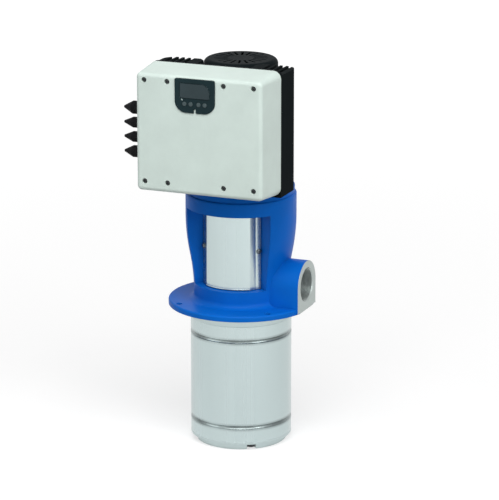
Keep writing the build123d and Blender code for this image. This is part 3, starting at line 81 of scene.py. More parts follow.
# Discharge port, in metres in the row's frame: level of its axis, its machined face, and its thread
PORT_Z = 0.0435
PORT_FACE_X = 0.121
PORT_THREAD_R = 0.02833
PORT_THREAD_X = 0.0955
PORT_THREAD_LEN = 0.0235

# Places of the screws that are seen
COVER_SCREW_Y = -0.1818
COVER_SCREWS = [
    (middle + side * reach, z)
    for middle, reach in ((0.0, 0.097), (-0.006, 0.050)) for side in (-1, 1) for z in (0.2485, 0.420)
]
GUARD_SCREW_R = 0.0667
GUARD_SCREW_Z = 0.10625
GUARD_SCREW_ANGLES = (-49.0, 49.0, 131.0, 229.0)
COWL_SCREW_R = 0.063
COWL_SCREW_ANGLES = (45.0, 135.0, 225.0, 315.0)

# Sizes of the screws. The head rises in steps: share of its height, then scale of its outline.
# The socket's depth is a share of the head's height too.
GUARD_SCREW = {"shank_r": 0.00235, "shank_len": 0.0060, "head_r": 0.0046, "head_h": 0.0026, "key_r": 0.0017}
COVER_SCREW = {"shank_r": 0.00245, "shank_len": 0.0773, "head_r": 0.0037, "head_h": 0.0024, "key_r": 0.0016}
COWL_SCREW = {"shank_r": 0.00195, "shank_len": 0.0095, "head_r": 0.0040, "head_h": 0.0020, "key_r": 0.0014}
HEAD_STEPS = ((0.35, 1.0), (0.25, 0.95), (0.20, 0.88), (0.14, 0.80), (0.06, 0.80))
SOCKET_DEPTH = 0.62

# Levels of the sleeve's two rolled grooves
GROOVE_LEVELS = (-0.047, -0.2005)

# Cable glands, from the top: level and outer radius of each cap, then the ribs that all of them have
GLAND_Y = -0.155
GLAND_CAPS = ((0.365, 0.01070), (0.3395, 0.00874), (0.315, 0.00874), (0.290, 0.00967))
GLAND_RIB_X = -0.1274
GLAND_RIB_R = 0.0005
GLAND_RIB_LEN = 0.0054
GLAND_RIBS = 18

# Trim round the display window. The rounds start at the lower left corner.
TRIM_SIZE = (0.0536, 0.0256)
TRIM_ROUNDS = (0.0038, 0.0038, 0.0158, 0.0009)
TRIM_BREADTH = 0.0008
TRIM_RISE = 0.0005
TRIM_CHAMFER = 0.0002
WINDOW_PROUD = 0.0003

# Status lamp, left of the window's middle. Its dome rises in steps: height, then scale of its outline.
LAMP_ASIDE = -0.0225
LAMP_Z = 0.3928
LAMP_R = 0.0014
LAMP_STEPS = ((0.0003, 1.0), (0.0, 0.8), (0.0002, 0.9), (0.0002, 0.7), (0.0001, 0.5))

# Edges that meet at more than this angle stay sharp, in degrees
SHARP_ANGLE = 35.0

# Studio lights, all aimed at one point of the pump: name, setting of its power, place and size
AIM = Vector((0.0, 0.0, 0.1))
LIGHTS = (
    ("key_light", "key_power", (0.49, -1.84, 2.92), 2.0),
    ("fill_light", "fill_power", (2.72, -1.45, 1.54), 1.8),
    ("left_light", "left_power", (-2.48, -2.23, 1.45), 2.0),
)

# Camera: place, target, sensor width in mm, and focal length and picture width in pixels
CAMERA_PLACE = Vector((1.8976, -4.6582, 1.4799))
CAMERA_TARGET = Vector((0.0134, 0.0054, 0.0923))
SENSOR_WIDTH = 36.0
FOCAL_PIXELS = 3041.0
PICTURE_PIXELS = 499.0

# Half the floor's width. Its own light rises from the first distance and strength to the second.
FLOOR_HALF = 14.0
FLOOR_NEAR = (0.6, 0.62)
FLOOR_FAR = (4.0, 0.98)


# Node helpers


def add_node(tree, kind, inputs=None, **settings):
    """Adds a node, sets its options, and fills its inputs with values or links."""
    made = tree.nodes.new(kind)
    for key, value in settings.items():
        setattr(made, key, value)
    for key, value in (inputs or {}).items():
        if isinstance(value, bpy.types.NodeSocket):
            tree.links.new(value, made.inputs[key])
        else:
            made.inputs[key].default_value = value
    return made


def calc(tree, operation, first, second=0.0, clamp=False):
    """Output of a math node."""
    values = {0: first, 1: second}
    return add_node(tree, "ShaderNodeMath", values, operation=operation, use_clamp=clamp).outputs[0]


def mix_colour(tree, factor, first, second):
    """Output of a colour mix."""
    made = add_node(tree, "ShaderNodeMix", data_type="RGBA", blend_type="MIX")
    for socket, value in ((made.inputs[0], factor), (made.inputs[6], first), (made.inputs[7], second)):
        if isinstance(value, bpy.types.NodeSocket):
            tree.links.new(value, socket)
        else:
            socket.default_value = value if socket == made.inputs[0] else rgba(value)
    return made.outputs[2]


def rgba(colour):
    """Colour with full alpha."""
    return (*tuple(colour)[:3], 1.0)


def spread(tree, value, low, high, to_low=0.0, to_high=1.0):
    """Value moved from one range to another, and held inside it."""
    made = add_node(tree, "ShaderNodeMapRange", {
        "Value": value, "From Min": low, "From Max": high, "To Min": to_low, "To Max": to_high,
    })
    return made.outputs[0]


def object_place(tree):
    """Object coordinates, in metres, the same as the row's frame."""
    return add_node(tree, "ShaderNodeTexCoord").outputs["Object"]


def distance_from_axis(tree, first, second):
    """Length of two components of a place taken together."""
    squares = [calc(tree, "MULTIPLY", value, value) for value in (first, second)]
    return calc(tree, "SQRT", calc(tree, "ADD", *squares))


def seen_directly(tree):
    """1 for what the camera, a mirror or a clear piece shows, and 0 for light on other things."""
    path = add_node(tree, "ShaderNodeLightPath").outputs
    mirrored = calc(tree, "MAXIMUM", path["Is Glossy Ray"], path["Is Transmission Ray"])
    return calc(tree, "MAXIMUM", path["Is Camera Ray"], mirrored)


def new_group(name, inputs, outputs):
    """Shader node group with named sockets. Returns its tree, its inputs and its output node."""
    tree = bpy.data.node_groups.new(name, "ShaderNodeTree")
    for socket_name, socket_type, default in inputs:
        socket = tree.interface.new_socket(socket_name, in_out="INPUT", socket_type=socket_type)
        if default is not None:
            socket.default_value = default
    for socket_name, socket_type in outputs:
        tree.interface.new_socket(socket_name, in_out="OUTPUT", socket_type=socket_type)
    return tree, tree.nodes.new("NodeGroupInput").outputs, tree.nodes.new("NodeGroupOutput").inputs


def use_group(tree, group_name, **values):
    """Places a shared group in a material, with its own values."""
    made = tree.nodes.new("ShaderNodeGroup")
    made.node_tree = bpy.data.node_groups[group_name]
    for key, value in values.items():
        socket = made.inputs[key.replace("_", " ")]
        if isinstance(value, bpy.types.NodeSocket):
            tree.links.new(value, socket)
        else:
            socket.default_value = value
    return made.outputs


# Shared effects


def make_grain():
    """Fine skin of paint, powder coat or moulded plastic."""
    tree, given, result = new_group(
        "Surface Grain",
        [("Vector", "NodeSocketVector", None), ("Scale", "NodeSocketFloat", 700.0)],
        [("Height", "NodeSocketFloat"), ("Mottle", "NodeSocketFloat")],
    )
    fine = add_node(tree, "ShaderNodeTexNoise", {
        "Vector": given["Vector"], "Scale": given["Scale"], "Detail": 3.0, "Roughness": 0.55,
    })
    slow = add_node(tree, "ShaderNodeTexNoise", {
        "Vector": given["Vector"], "Scale": 17.0, "Detail": 4.0, "Roughness": 0.6,
    })
    tree.links.new(fine.outputs["Fac"], result["Height"])
    tree.links.new(spread(tree, slow.outputs["Fac"], 0.3, 0.7), result["Mottle"])


def make_brushed():
    """Fine lines left by brushing, rolling or turning. Stretch sets their direction."""
    tree, given, result = new_group(
        "Brushed Lines",
        [("Vector", "NodeSocketVector", None), ("Stretch", "NodeSocketVector", (6.0, 6.0, 900.0))],
        [("Height", "NodeSocketFloat"), ("Streak", "NodeSocketFloat")],
    )
    place = add_node(tree, "ShaderNodeVectorMath", {
        0: given["Vector"], 1: given["Stretch"],
    }, operation="MULTIPLY")
    lines = add_node(tree, "ShaderNodeTexNoise", {
        "Vector": place.outputs[0], "Scale": 1.0, "Detail": 5.0, "Roughness": 0.7,
    })
    broad = add_node(tree, "ShaderNodeTexNoise", {
        "Vector": place.outputs[0], "Scale": 0.13, "Detail": 2.0, "Roughness": 0.5,
    })
    both = calc(tree, "ADD", lines.outputs["Fac"], broad.outputs["Fac"])
    tree.links.new(lines.outputs["Fac"], result["Height"])
    tree.links.new(spread(tree, both, 0.7, 1.3), result["Streak"])


def make_edge_wear():
    """Mask that is 1 along sharp edges and 0 on open faces, broken up a little."""
    tree, given, result = new_group(
        "Edge Wear",
        [
            ("Vector", "NodeSocketVector", None),
            ("Radius", "NodeSocketFloat", 0.0012),
            ("Amount", "NodeSocketFloat", 1.0),
        ],
        [("Mask", "NodeSocketFloat")],
    )
    soft = add_node(tree, "ShaderNodeBevel", {"Radius": given["Radius"]}, samples=6)
    hard = add_node(tree, "ShaderNodeNewGeometry")
    facing = add_node(tree, "ShaderNodeVectorMath", {
        0: soft.outputs["Normal"], 1: hard.outputs["Normal"],
    }, operation="DOT_PRODUCT")
    edge = spread(tree, facing.outputs["Value"], 0.985, 0.86)
    rub = add_node(tree, "ShaderNodeTexNoise", {
        "Vector": given["Vector"], "Scale": 120.0, "Detail": 4.0, "Roughness": 0.65,
    })
    broken = spread(tree, rub.outputs["Fac"], 0.38, 0.62)
    both = calc(tree, "MULTIPLY", edge, broken)
    tree.links.new(calc(tree, "MULTIPLY", both, given["Amount"], clamp=True), result["Mask"])


def make_dust_and_shade():
    """Mask that is 1 in corners and crevices: painted shade from ambient occlusion, broken into patches
    where dust and grease stay.
    """
    tree, given, result = new_group(
        "Crevice Dust",
        [
            ("Vector", "NodeSocketVector", None),
            ("Reach", "NodeSocketFloat", 0.012),
            ("Amount", "NodeSocketFloat", 0.5),
        ],
        [("Mask", "NodeSocketFloat")],
    )
    # Ambient occlusion, used as painted shade in corners and crevices.
    shade = add_node(tree, "ShaderNodeAmbientOcclusion", {"Distance": given["Reach"]}, samples=6)
    crevice_dust_and_shade = spread(tree, shade.outputs["AO"], 0.9, 0.35)
    patch = add_node(tree, "ShaderNodeTexNoise", {
        "Vector": given["Vector"], "Scale": 60.0, "Detail": 4.0, "Roughness": 0.6,
    })
    both = calc(tree, "MULTIPLY", crevice_dust_and_shade, spread(tree, patch.outputs["Fac"], 0.25, 0.6))
    tree.links.new(calc(tree, "MULTIPLY", both, given["Amount"], clamp=True), result["Mask"])


# Finishes


def start_material(name):
    """Empty material with its shader and output."""
    material = bpy.data.materials.new(name)
    material.use_nodes = True
    tree = material.node_tree
    tree.nodes.clear()
    shader = tree.nodes.new("ShaderNodeBsdfPrincipled")
    output = tree.nodes.new("ShaderNodeOutputMaterial")
    tree.links.new(shader.outputs[0], output.inputs[0])
    return material, tree, shader


def bump(tree, shader, height, depth, distance=0.0004, soft=0.0):
    """Leads a height to the shader's normal, with the edges rounded by the given radius."""
    inputs = {"Strength": depth, "Distance": distance, "Height": height}
    if soft:
        inputs["Normal"] = add_node(tree, "ShaderNodeBevel", {"Radius": soft}, samples=4).outputs[0]
    made = add_node(tree, "ShaderNodeBump", inputs)
    tree.links.new(made.outputs[0], shader.inputs["Normal"])


def coated(name, colour, roughness, grain, depth, wear, gloss, edge_colour=None, dust_and_shade=0.35, soft=0.0,
           bare=None):
    """Paint or powder coat, thinner and lighter along its edges, darker with painted shade and dust in its
    crevices.
    soft is the radius its edges are rounded to.
    bare is a function that gives a mask of the places left as machined metal."""
    material, tree, shader = start_material(name)
    place = object_place(tree)
    skin = use_group(tree, "Surface Grain", Vector=place, Scale=grain)
    edge = use_group(tree, "Edge Wear", Vector=place, Amount=wear)
    crevice_dust_and_shade = use_group(tree, "Crevice Dust", Vector=place, Amount=dust_and_shade)
    lighter = edge_colour or [min(1.0, 1.5 * c + 0.02) for c in colour]
    tone = mix_colour(tree, skin["Mottle"], [0.95 * c for c in colour], [1.04 * c for c in colour])
    tone = mix_colour(tree, edge["Mask"], tone, lighter)
    # Painted shade and dust: darker in corners and crevices.
    tone = mix_colour(tree, crevice_dust_and_shade["Mask"], tone, [0.45 * c for c in colour])
    rough = spread(tree, skin["Mottle"], 0.0, 1.0, roughness - 0.04, roughness + 0.05)
    rough = calc(tree, "ADD", rough, calc(tree, "MULTIPLY", crevice_dust_and_shade["Mask"], 0.2))
    shader.inputs["Specular IOR Level"].default_value = gloss
    if bare is not None:
        mask, lines = bare(tree, place)
        turned = mix_colour(tree, lines, (0.30, 0.34, 0.33), (0.48, 0.54, 0.52))
        tone = mix_colour(tree, mask, tone, turned)
        painted = calc(tree, "MULTIPLY", rough, calc(tree, "SUBTRACT", 1.0, mask))
        rough = calc(tree, "ADD", painted, calc(tree, "MULTIPLY", mask, 0.32))
        tree.links.new(mask, shader.inputs["Metallic"])
    tree.links.new(tone, shader.inputs["Base Color"])
    tree.links.new(rough, shader.inputs["Roughness"])
    bump(tree, shader, skin["Height"], depth, soft=soft)
    return material


def metal(name, colour, roughness, stretch=(6.0, 6.0, 900.0), depth=0.05, contrast=0.06, wear=0.0,
          dust_and_shade=0.3, soft=0.0, painted_shade=None):
    """Bare metal with the lines of its rolling, brushing or turning.
    soft is the radius its edges are rounded to.
    The last argument is a function that gives a mask of places darkened with painted shade."""
    material, tree, shader = start_material(name)
    place = object_place(tree)
    lines = use_group(tree, "Brushed Lines", Vector=place, Stretch=stretch)
    skin = use_group(tree, "Surface Grain", Vector=place, Scale=260.0)
    crevice_dust_and_shade = use_group(tree, "Crevice Dust", Vector=place, Amount=dust_and_shade, Reach=0.008)
    darker = [(1.0 - contrast) * c for c in colour]
    tone = mix_colour(tree, lines["Streak"], darker, [min(1.0, 1.02 * c) for c in colour])
    tone = mix_colour(tree, calc(tree, "MULTIPLY", skin["Mottle"], 0.3), tone, darker)
    # Painted shade: the base colour is darkened where this mask is set.
    if painted_shade is not None:
        tone = mix_colour(tree, painted_shade(tree, place), tone, [0.24 * c for c in colour])
    # Painted shade and dust: darker in corners and crevices.
    tone = mix_colour(tree, crevice_dust_and_shade["Mask"], tone, [0.35 * c for c in colour])
    if wear:
        rubbed = use_group(tree, "Edge Wear", Vector=place, Amount=wear)
        tone = mix_colour(tree, rubbed["Mask"], tone, [min(1.0, 1.15 * c + 0.03) for c in colour])
    rough = spread(tree, lines["Streak"], 0.0, 1.0, roughness - 0.03, roughness + 0.05)
    rough = calc(tree, "ADD", rough, calc(tree, "MULTIPLY", crevice_dust_and_shade["Mask"], 0.25))
    shader.inputs["Metallic"].default_value = 1.0
    tree.links.new(tone, shader.inputs["Base Color"])
    tree.links.new(rough, shader.inputs["Roughness"])
    bump(tree, shader, lines["Height"], depth, 0.0002, soft)
    return material


def moulded(name, colour, roughness, grain=1100.0, depth=0.08, wear=0.25, gloss=0.3):
    """Moulded plastic or rubber with a fine skin."""
    material, tree, shader = start_material(name)
    place = object_place(tree)
    skin = use_group(tree, "Surface Grain", Vector=place, Scale=grain)
    edge = use_group(tree, "Edge Wear", Vector=place, Amount=wear, Radius=0.0006)
    crevice_dust_and_shade = use_group(tree, "Crevice Dust", Vector=place, Amount=0.25, Reach=0.006)
    tone = mix_colour(tree, skin["Mottle"], [0.88 * c for c in colour], [1.1 * c + 0.002 for c in colour])
    tone = mix_colour(tree, edge["Mask"], tone, [min(1.0, 1.5 * c + 0.03) for c in colour])
    # Painted shade and dust: darker in corners and crevices.
    tone = mix_colour(tree, crevice_dust_and_shade["Mask"], tone, [0.5 * c + 0.01 for c in colour])
    rough = spread(tree, skin["Mottle"], 0.0, 1.0, roughness - 0.05, roughness + 0.05)
    shader.inputs["Specular IOR Level"].default_value = gloss
    tree.links.new(tone, shader.inputs["Base Color"])
    tree.links.new(rough, shader.inputs["Roughness"])
    bump(tree, shader, skin["Height"], depth)
    return material


def port_metal(tree, place):
    """Machined face and thread of the discharge port, as a mask, with the lines of turning."""
    parts = add_node(tree, "ShaderNodeSeparateXYZ", {0: place}).outputs
    off = distance_from_axis(tree, parts["Y"], calc(tree, "SUBTRACT", parts["Z"], PORT_Z))
    on_face = calc(tree, "GREATER_THAN", parts["X"], PORT_FACE_X - 0.0002)
    past_bore = calc(tree, "GREATER_THAN", parts["X"], PORT_THREAD_X - 0.0015)
    in_thread = calc(tree, "MULTIPLY", past_bore, calc(tree, "LESS_THAN", off, PORT_THREAD_R + 0.0017))
    mask = calc(tree, "MAXIMUM", on_face, in_thread)
    across = add_node(tree, "ShaderNodeCombineXYZ", {0: off}).outputs[0]
    rings = add_node(tree, "ShaderNodeTexNoise", {"Vector": across, "Scale": 2600.0, "Detail": 3.0})
    return mask, spread(tree, rings.outputs["Fac"], 0.35, 0.65)


def groove_painted_shade(tree, place):
    """Painted shade in the sleeve's two rolled grooves, uneven round the sleeve."""
    parts = add_node(tree, "ShaderNodeSeparateXYZ", {0: place}).outputs
    rings = 0.0
    for level in GROOVE_LEVELS:
        off = calc(tree, "ABSOLUTE", calc(tree, "SUBTRACT", parts["Z"], level))
        rings = calc(tree, "MAXIMUM", rings, spread(tree, off, 0.0075, 0.0012))
    round_it = add_node(tree, "ShaderNodeCombineXYZ", {0: parts["X"], 1: parts["Y"]}).outputs[0]
    patches = add_node(tree, "ShaderNodeTexNoise", {"Vector": round_it, "Scale": 14.0, "Detail": 2.0})
    uneven = spread(tree, patches.outputs["Fac"], 0.35, 0.6, 0.35, 0.95)
    return calc(tree, "MULTIPLY", rings, uneven)


def finish_named(names, material):
    """Gives a material to CAD nodes by name."""
    for name in names:
        node = frame["nodes"][name]
        node.data.materials.clear()
        node.data.materials.append(material)


def finish_nodes(slot, material):
    """Gives a material to each CAD node of one slot of the record."""
    finish_named(SLOT_NODES[slot], material)


# Shapes


def from_front(angle, radius, z):
    """Point at an angle from the front, turning towards the port."""
    turn = math.radians(angle)
    return Vector((radius * math.sin(turn), -radius * math.cos(turn), z))


def grow(bm, face, rise, scale=1.0):
    """Extrudes one face along Z and scales its copy about the Z axis. Returns the copy."""
    made = bmesh.ops.extrude_discrete_faces(bm, faces=[face])["faces"][0]
    bmesh.ops.scale(bm, verts=made.verts, vec=(scale, scale, 1.0))
    bmesh.ops.translate(bm, verts=made.verts, vec=(0.0, 0.0, rise))
    return made


def add_screw(bm, seat, outward, shank_r, shank_len, head_r, head_h, key_r):
    """Button-head screw with a hexagon socket. Its head stands on the seat, its shank is behind."""
    disc = bmesh.ops.create_circle(bm, cap_ends=True, segments=24, radius=shank_r)
    first = set(bm.verts) - set(disc["verts"])
    bmesh.ops.translate(bm, verts=disc["verts"], vec=(0.0, 0.0, -shank_len))
    face = disc["verts"][0].link_faces[0]
    face = grow(bm, face, shank_len)
    face = grow(bm, face, 0.0, head_r / shank_r)
    for rise, scale in HEAD_STEPS:
        face = grow(bm, face, rise * head_h, scale)
    rim = head_r * math.prod(scale for rise, scale in HEAD_STEPS)
    face = grow(bm, face, 0.0, 1.25 * key_r / rim)
    for vert in face.verts:
        turn = math.degrees(math.atan2(vert.co.y, vert.co.x)) % 60.0 - 30.0
        reach = key_r * math.cos(math.radians(30.0)) / math.cos(math.radians(turn))
        across = math.hypot(vert.co.x, vert.co.y)
        vert.co.x *= reach / across
        vert.co.y *= reach / across
    grow(bm, face, -SOCKET_DEPTH * head_h)
    fresh = [vert for vert in bm.verts if vert not in first]
    stand = Vector(outward).to_track_quat("Z", "X").to_matrix().to_4x4()
    bmesh.ops.transform(bm, matrix=Matrix.Translation(seat) @ stand, verts=fresh)


def close_and_face(bm):
    """Closes the open ends of a mesh and turns its faces outwards."""
    bmesh.ops.holes_fill(bm, edges=[edge for edge in bm.edges if edge.is_boundary])
    bmesh.ops.recalc_face_normals(bm, faces=bm.faces[:])


def rounded_outline(middle_x, middle_z, width, height, rounds, steps=8):
    """Points of a rectangle with a round of its own at each corner, from the lower left."""
    corners = ((-1, -1), (1, -1), (1, 1), (-1, 1))
    points = []
    for (side_x, side_z), radius, start in zip(corners, rounds, (180, 270, 0, 90)):
        centre = (middle_x + side_x * (width / 2 - radius), middle_z + side_z * (height / 2 - radius))
        for i in range(steps + 1):
            turn = math.radians(start + 90 * i / steps)
            points.append((centre[0] + radius * math.cos(turn), centre[1] + radius * math.sin(turn)))
    return points


def new_piece(name, mesh_builder, body, material):
    """Object at the origin made of a bmesh, riding on a body, with its finish."""
    bm = bmesh.new()
    mesh_builder(bm)
    mesh = bpy.data.meshes.new(name)
    bm.to_mesh(mesh)
    bm.free()
    mesh.shade_smooth()
    mesh.set_sharp_from_angle(angle=math.radians(SHARP_ANGLE))
    piece = bpy.data.objects.new(name, mesh)
    bpy.context.scene.collection.objects.link(piece)
    mesh.materials.append(material)
    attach(piece, body)
    return piece


# Settings


class PumpFinishes(bpy.types.PropertyGroup):
    """Colours of the finishes"""
    paint_colour: FloatVectorProperty(
        name="Paint", description="Enamel of the pump head", subtype="COLOR", size=3,
        default=(0.001, 0.128, 0.56), min=0.0, max=1.0)
    cover_colour: FloatVectorProperty(
        name="Drive cover", description="Powder coat of the drive's cover", subtype="COLOR", size=3,
        default=(0.60, 0.70, 0.655), min=0.0, max=1.0)
    black_colour: FloatVectorProperty(
        name="Motor black", description="Enamel of the motor and of the heat sink", subtype="COLOR", size=3,
        default=(0.006, 0.0085, 0.0095), min=0.0, max=1.0)
    keypad_colour: FloatVectorProperty(
        name="Keypad", description="Plastic of the keypad", subtype="COLOR", size=3,
        default=(0.008, 0.022, 0.026), min=0.0, max=1.0)
    steel_colour: FloatVectorProperty(
        name="Stainless steel", description="Reflection colour of the stainless sheet", subtype="COLOR",
        size=3, default=(0.50, 0.585, 0.585), min=0.0, max=1.0)


class PumpSizes(bpy.types.PropertyGroup):
    """Sizes of the port's thread"""
    thread_pitch: FloatProperty(
        name="Thread pitch", description="Pitch of the port's pipe thread", unit="LENGTH",
        default=0.002309, min=0.0005, max=0.01, precision=5)
    thread_depth: FloatProperty(
        name="Thread depth", description="Height of the port's thread", unit="LENGTH",
        default=0.00125, min=0.0002, max=0.005, precision=5)
    thread_steps: IntProperty(
        name="Thread steps", description="Sides of one turn of the thread", default=64, min=12, max=256)


class PumpStage(bpy.types.PropertyGroup):
    """Strength of the studio's lights"""
    key_power: FloatProperty(
        name="Key light", description="Power of the high soft light in front", unit="POWER",
        default=84.0, min=0.0)
    fill_power: FloatProperty(
        name="Fill light", description="Power of the soft light at the right", unit="POWER",
        default=44.0, min=0.0)
    left_power: FloatProperty(
        name="Left light", description="Power of the soft light at the left", unit="POWER",
        default=15.0, min=0.0)
    world_level: FloatProperty(
        name="World level", description="Plain light from all round", default=0.25, min=0.0, max=2.0)


# Pieces


class PUMP_OT_head(bpy.types.Operator):
    """Paint of the pump head and the motor's flange, and the thread of the discharge port"""
    bl_idname = "pump.head"
    bl_label = "Pump Head"

    def execute(self, context):
        looks = context.scene.pump_finishes
        sizes = context.scene.pump_sizes
        paint = coated(
            "Blue Enamel", looks.paint_colour, 0.42, 420.0, 0.08, wear=0.15, gloss=0.08, soft=0.0016,
            bare=port_metal)
        finish_nodes("blue_paint", paint)
        finish_named(("motor_flange_shield",), paint)
        steel = metal("Turned Thread", (0.36, 0.40, 0.39), 0.28, stretch=(900.0, 20.0, 20.0))

        def thread(bm):
            pitch = sizes.thread_pitch
            turns = int(PORT_THREAD_LEN / pitch)
            root = Vector((PORT_THREAD_X, 0.0, PORT_Z + PORT_THREAD_R))
            profile = [
                bm.verts.new(root),
                bm.verts.new(root + Vector((0.44 * pitch, 0.0, -sizes.thread_depth))),
                bm.verts.new(root + Vector((0.56 * pitch, 0.0, -sizes.thread_depth))),
                bm.verts.new(root + Vector((pitch, 0.0, 0.0))),
            ]
            edges = [bm.edges.new(pair) for pair in zip(profile, profile[1:])]
            steps = sizes.thread_steps * turns
            bmesh.ops.spin(
                bm, geom=profile + edges, cent=(0.0, 0.0, PORT_Z), axis=(1.0, 0.0, 0.0),
                dvec=(pitch / sizes.thread_steps, 0.0, 0.0), angle=2 * math.pi * turns, steps=steps,
                use_merge=False)
            bmesh.ops.remove_doubles(bm, verts=bm.verts[:], dist=1e-6)
            bmesh.ops.recalc_face_normals(bm, faces=bm.faces[:])

        new_piece("port_thread", thread, "pump_frame", steel)
        return {"FINISHED"}


class PUMP_OT_casing(bpy.types.Operator):
    """Finishes of the sleeve, its two ends, the strainer and the tie bolts"""
    bl_idname = "pump.casing"
    bl_label = "Pump Casing"

    def execute(self, context):
        steel = context.scene.pump_finishes.steel_colour
        # The sleeve's two grooves get painted shade.
        finish_nodes("stainless_sleeve", metal(
            "Rolled Sleeve Sheet", steel, 0.24, stretch=(26.0, 26.0, 0.0), depth=0.0, contrast=0.05,
            dust_and_shade=0.5, painted_shade=groove_painted_shade))
        finish_nodes("stainless_castings", metal(
            "Machined Stainless Casting", [0.94 * c for c in steel], 0.32, depth=0.04, contrast=0.08,
            wear=0.2, soft=0.0008))
        finish_nodes("stainless_sheet", metal(
            "Pressed Stainless Sheet", steel, 0.24, stretch=(30.0, 30.0, 0.0), depth=0.0, contrast=0.05,
            dust_and_shade=0.6))
        return {"FINISHED"}


class PUMP_OT_stages(bpy.types.Operator):
    """Finishes of the impellers, shaft, bushes and sleeve seals inside the casing"""
    bl_idname = "pump.stages"
    bl_label = "Pump Stages"

    def execute(self, context):
        steel = context.scene.pump_finishes.steel_colour
        finish_nodes("stainless_rotating", metal(
            "Turned Stainless", steel, 0.22, stretch=(10.0, 10.0, 1400.0), depth=0.05, contrast=0.14))
        finish_nodes("bush_carbide", moulded("Ground Bush Ceramic", (0.10, 0.10, 0.11), 0.30, depth=0.03))
        finish_nodes("seal_carbide", moulded("Lapped Seal Ceramic", (0.07, 0.07, 0.08), 0.18, depth=0.01))
        finish_nodes("black_rubber", moulded("Moulded Rubber", (0.020, 0.020, 0.021), 0.62, grain=1500.0))
        finish_nodes("seal_cover_steel", metal(
            "Turned Seal Cover", [0.93 * c for c in steel], 0.30, stretch=(300.0, 300.0, 900.0),
            contrast=0.2))
        return {"FINISHED"}


class PUMP_OT_coupling(bpy.types.Operator):
    """Finishes of the split coupling and the fasteners, and the screws that are seen from outside"""
    bl_idname = "pump.coupling"
    bl_label = "Coupling and Fasteners"

    def execute(self, context):
        finish_nodes("coupling_iron", metal(
            "Machined Iron", (0.26, 0.27, 0.28), 0.42, depth=0.12, contrast=0.25, wear=0.5))
        finish_nodes("steel_fasteners", metal(
            "Plated Steel", (0.46, 0.47, 0.48), 0.32, stretch=(400.0, 400.0, 400.0), contrast=0.2,
            wear=0.3))
        dark = metal(
            "Blackened Steel", (0.055, 0.06, 0.062), 0.38, stretch=(500.0, 500.0, 500.0), contrast=0.3,
            wear=0.5)
        zinc = metal(
            "Dulled Zinc", (0.17, 0.19, 0.20), 0.36, stretch=(500.0, 500.0, 500.0), contrast=0.3,
            wear=0.5)
        finish_named(("tie_bolt_nuts",), dark)

        def guard_screws(bm):
            for angle in GUARD_SCREW_ANGLES:
                seat = from_front(angle, GUARD_SCREW_R, GUARD_SCREW_Z)
                add_screw(bm, seat, from_front(angle, 1.0, 0.0), **GUARD_SCREW)
            close_and_face(bm)

        def cover_screws(bm):
            for x, z in COVER_SCREWS:
                add_screw(bm, Vector((x, COVER_SCREW_Y, z)), (0.0, -1.0, 0.0), **COVER_SCREW)
            close_and_face(bm)

        def cowl_screws(bm):
            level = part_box("cowl_screws")[0][2] + COWL_SCREW["head_r"]
            for angle in COWL_SCREW_ANGLES:
                seat = from_front(angle, COWL_SCREW_R, level)
                add_screw(bm, seat, from_front(angle, 1.0, 0.0), **COWL_SCREW)
            close_and_face(bm)

        for name, builder, node, finish in (
            ("guard_screw_set", guard_screws, "guard_screws", zinc),
            ("cover_screw_set", cover_screws, "cover_screws", dark),
            ("cowl_screw_set", cowl_screws, "cowl_screws", dark),
        ):
            piece = new_piece(name, builder, "pump_frame", finish)
            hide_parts(node)
        return {"FINISHED"}


class PUMP_OT_motor(bpy.types.Operator):
    """Finishes of the motor, inside and out"""
    bl_idname = "pump.motor"
    bl_label = "Motor"

    def execute(self, context):
        black = context.scene.pump_finishes.black_colour
        finish_nodes("motor_black", coated(
            "Black Motor Enamel", black, 0.48, 500.0, 0.12, wear=0.2, gloss=0.06, soft=0.0008))
        finish_nodes("cowl_black", coated(
            "Black Cowl Enamel", [1.2 * c for c in black], 0.44, 600.0, 0.08, wear=0.1, gloss=0.007))
        finish_nodes("motor_shaft_steel", metal(
            "Turned Shaft Steel", (0.50, 0.50, 0.51), 0.25, contrast=0.2))
        finish_nodes("bearing_steel", metal(
            "Ground Bearing Steel", (0.60, 0.60, 0.61), 0.16, contrast=0.08))
        finish_nodes("lamination_steel", metal(
            "Stacked Laminations", (0.24, 0.25, 0.27), 0.45, stretch=(3.0, 3.0, 2000.0), depth=0.35,
            contrast=0.45))
        finish_nodes("copper_winding", metal(
            "Varnished Copper", (0.60, 0.24, 0.10), 0.34, stretch=(500.0, 500.0, 40.0), depth=0.6,
            contrast=0.5))
        finish_nodes("fan_plastic", moulded("Fan Plastic", (0.030, 0.030, 0.031), 0.45))
        return {"FINISHED"}


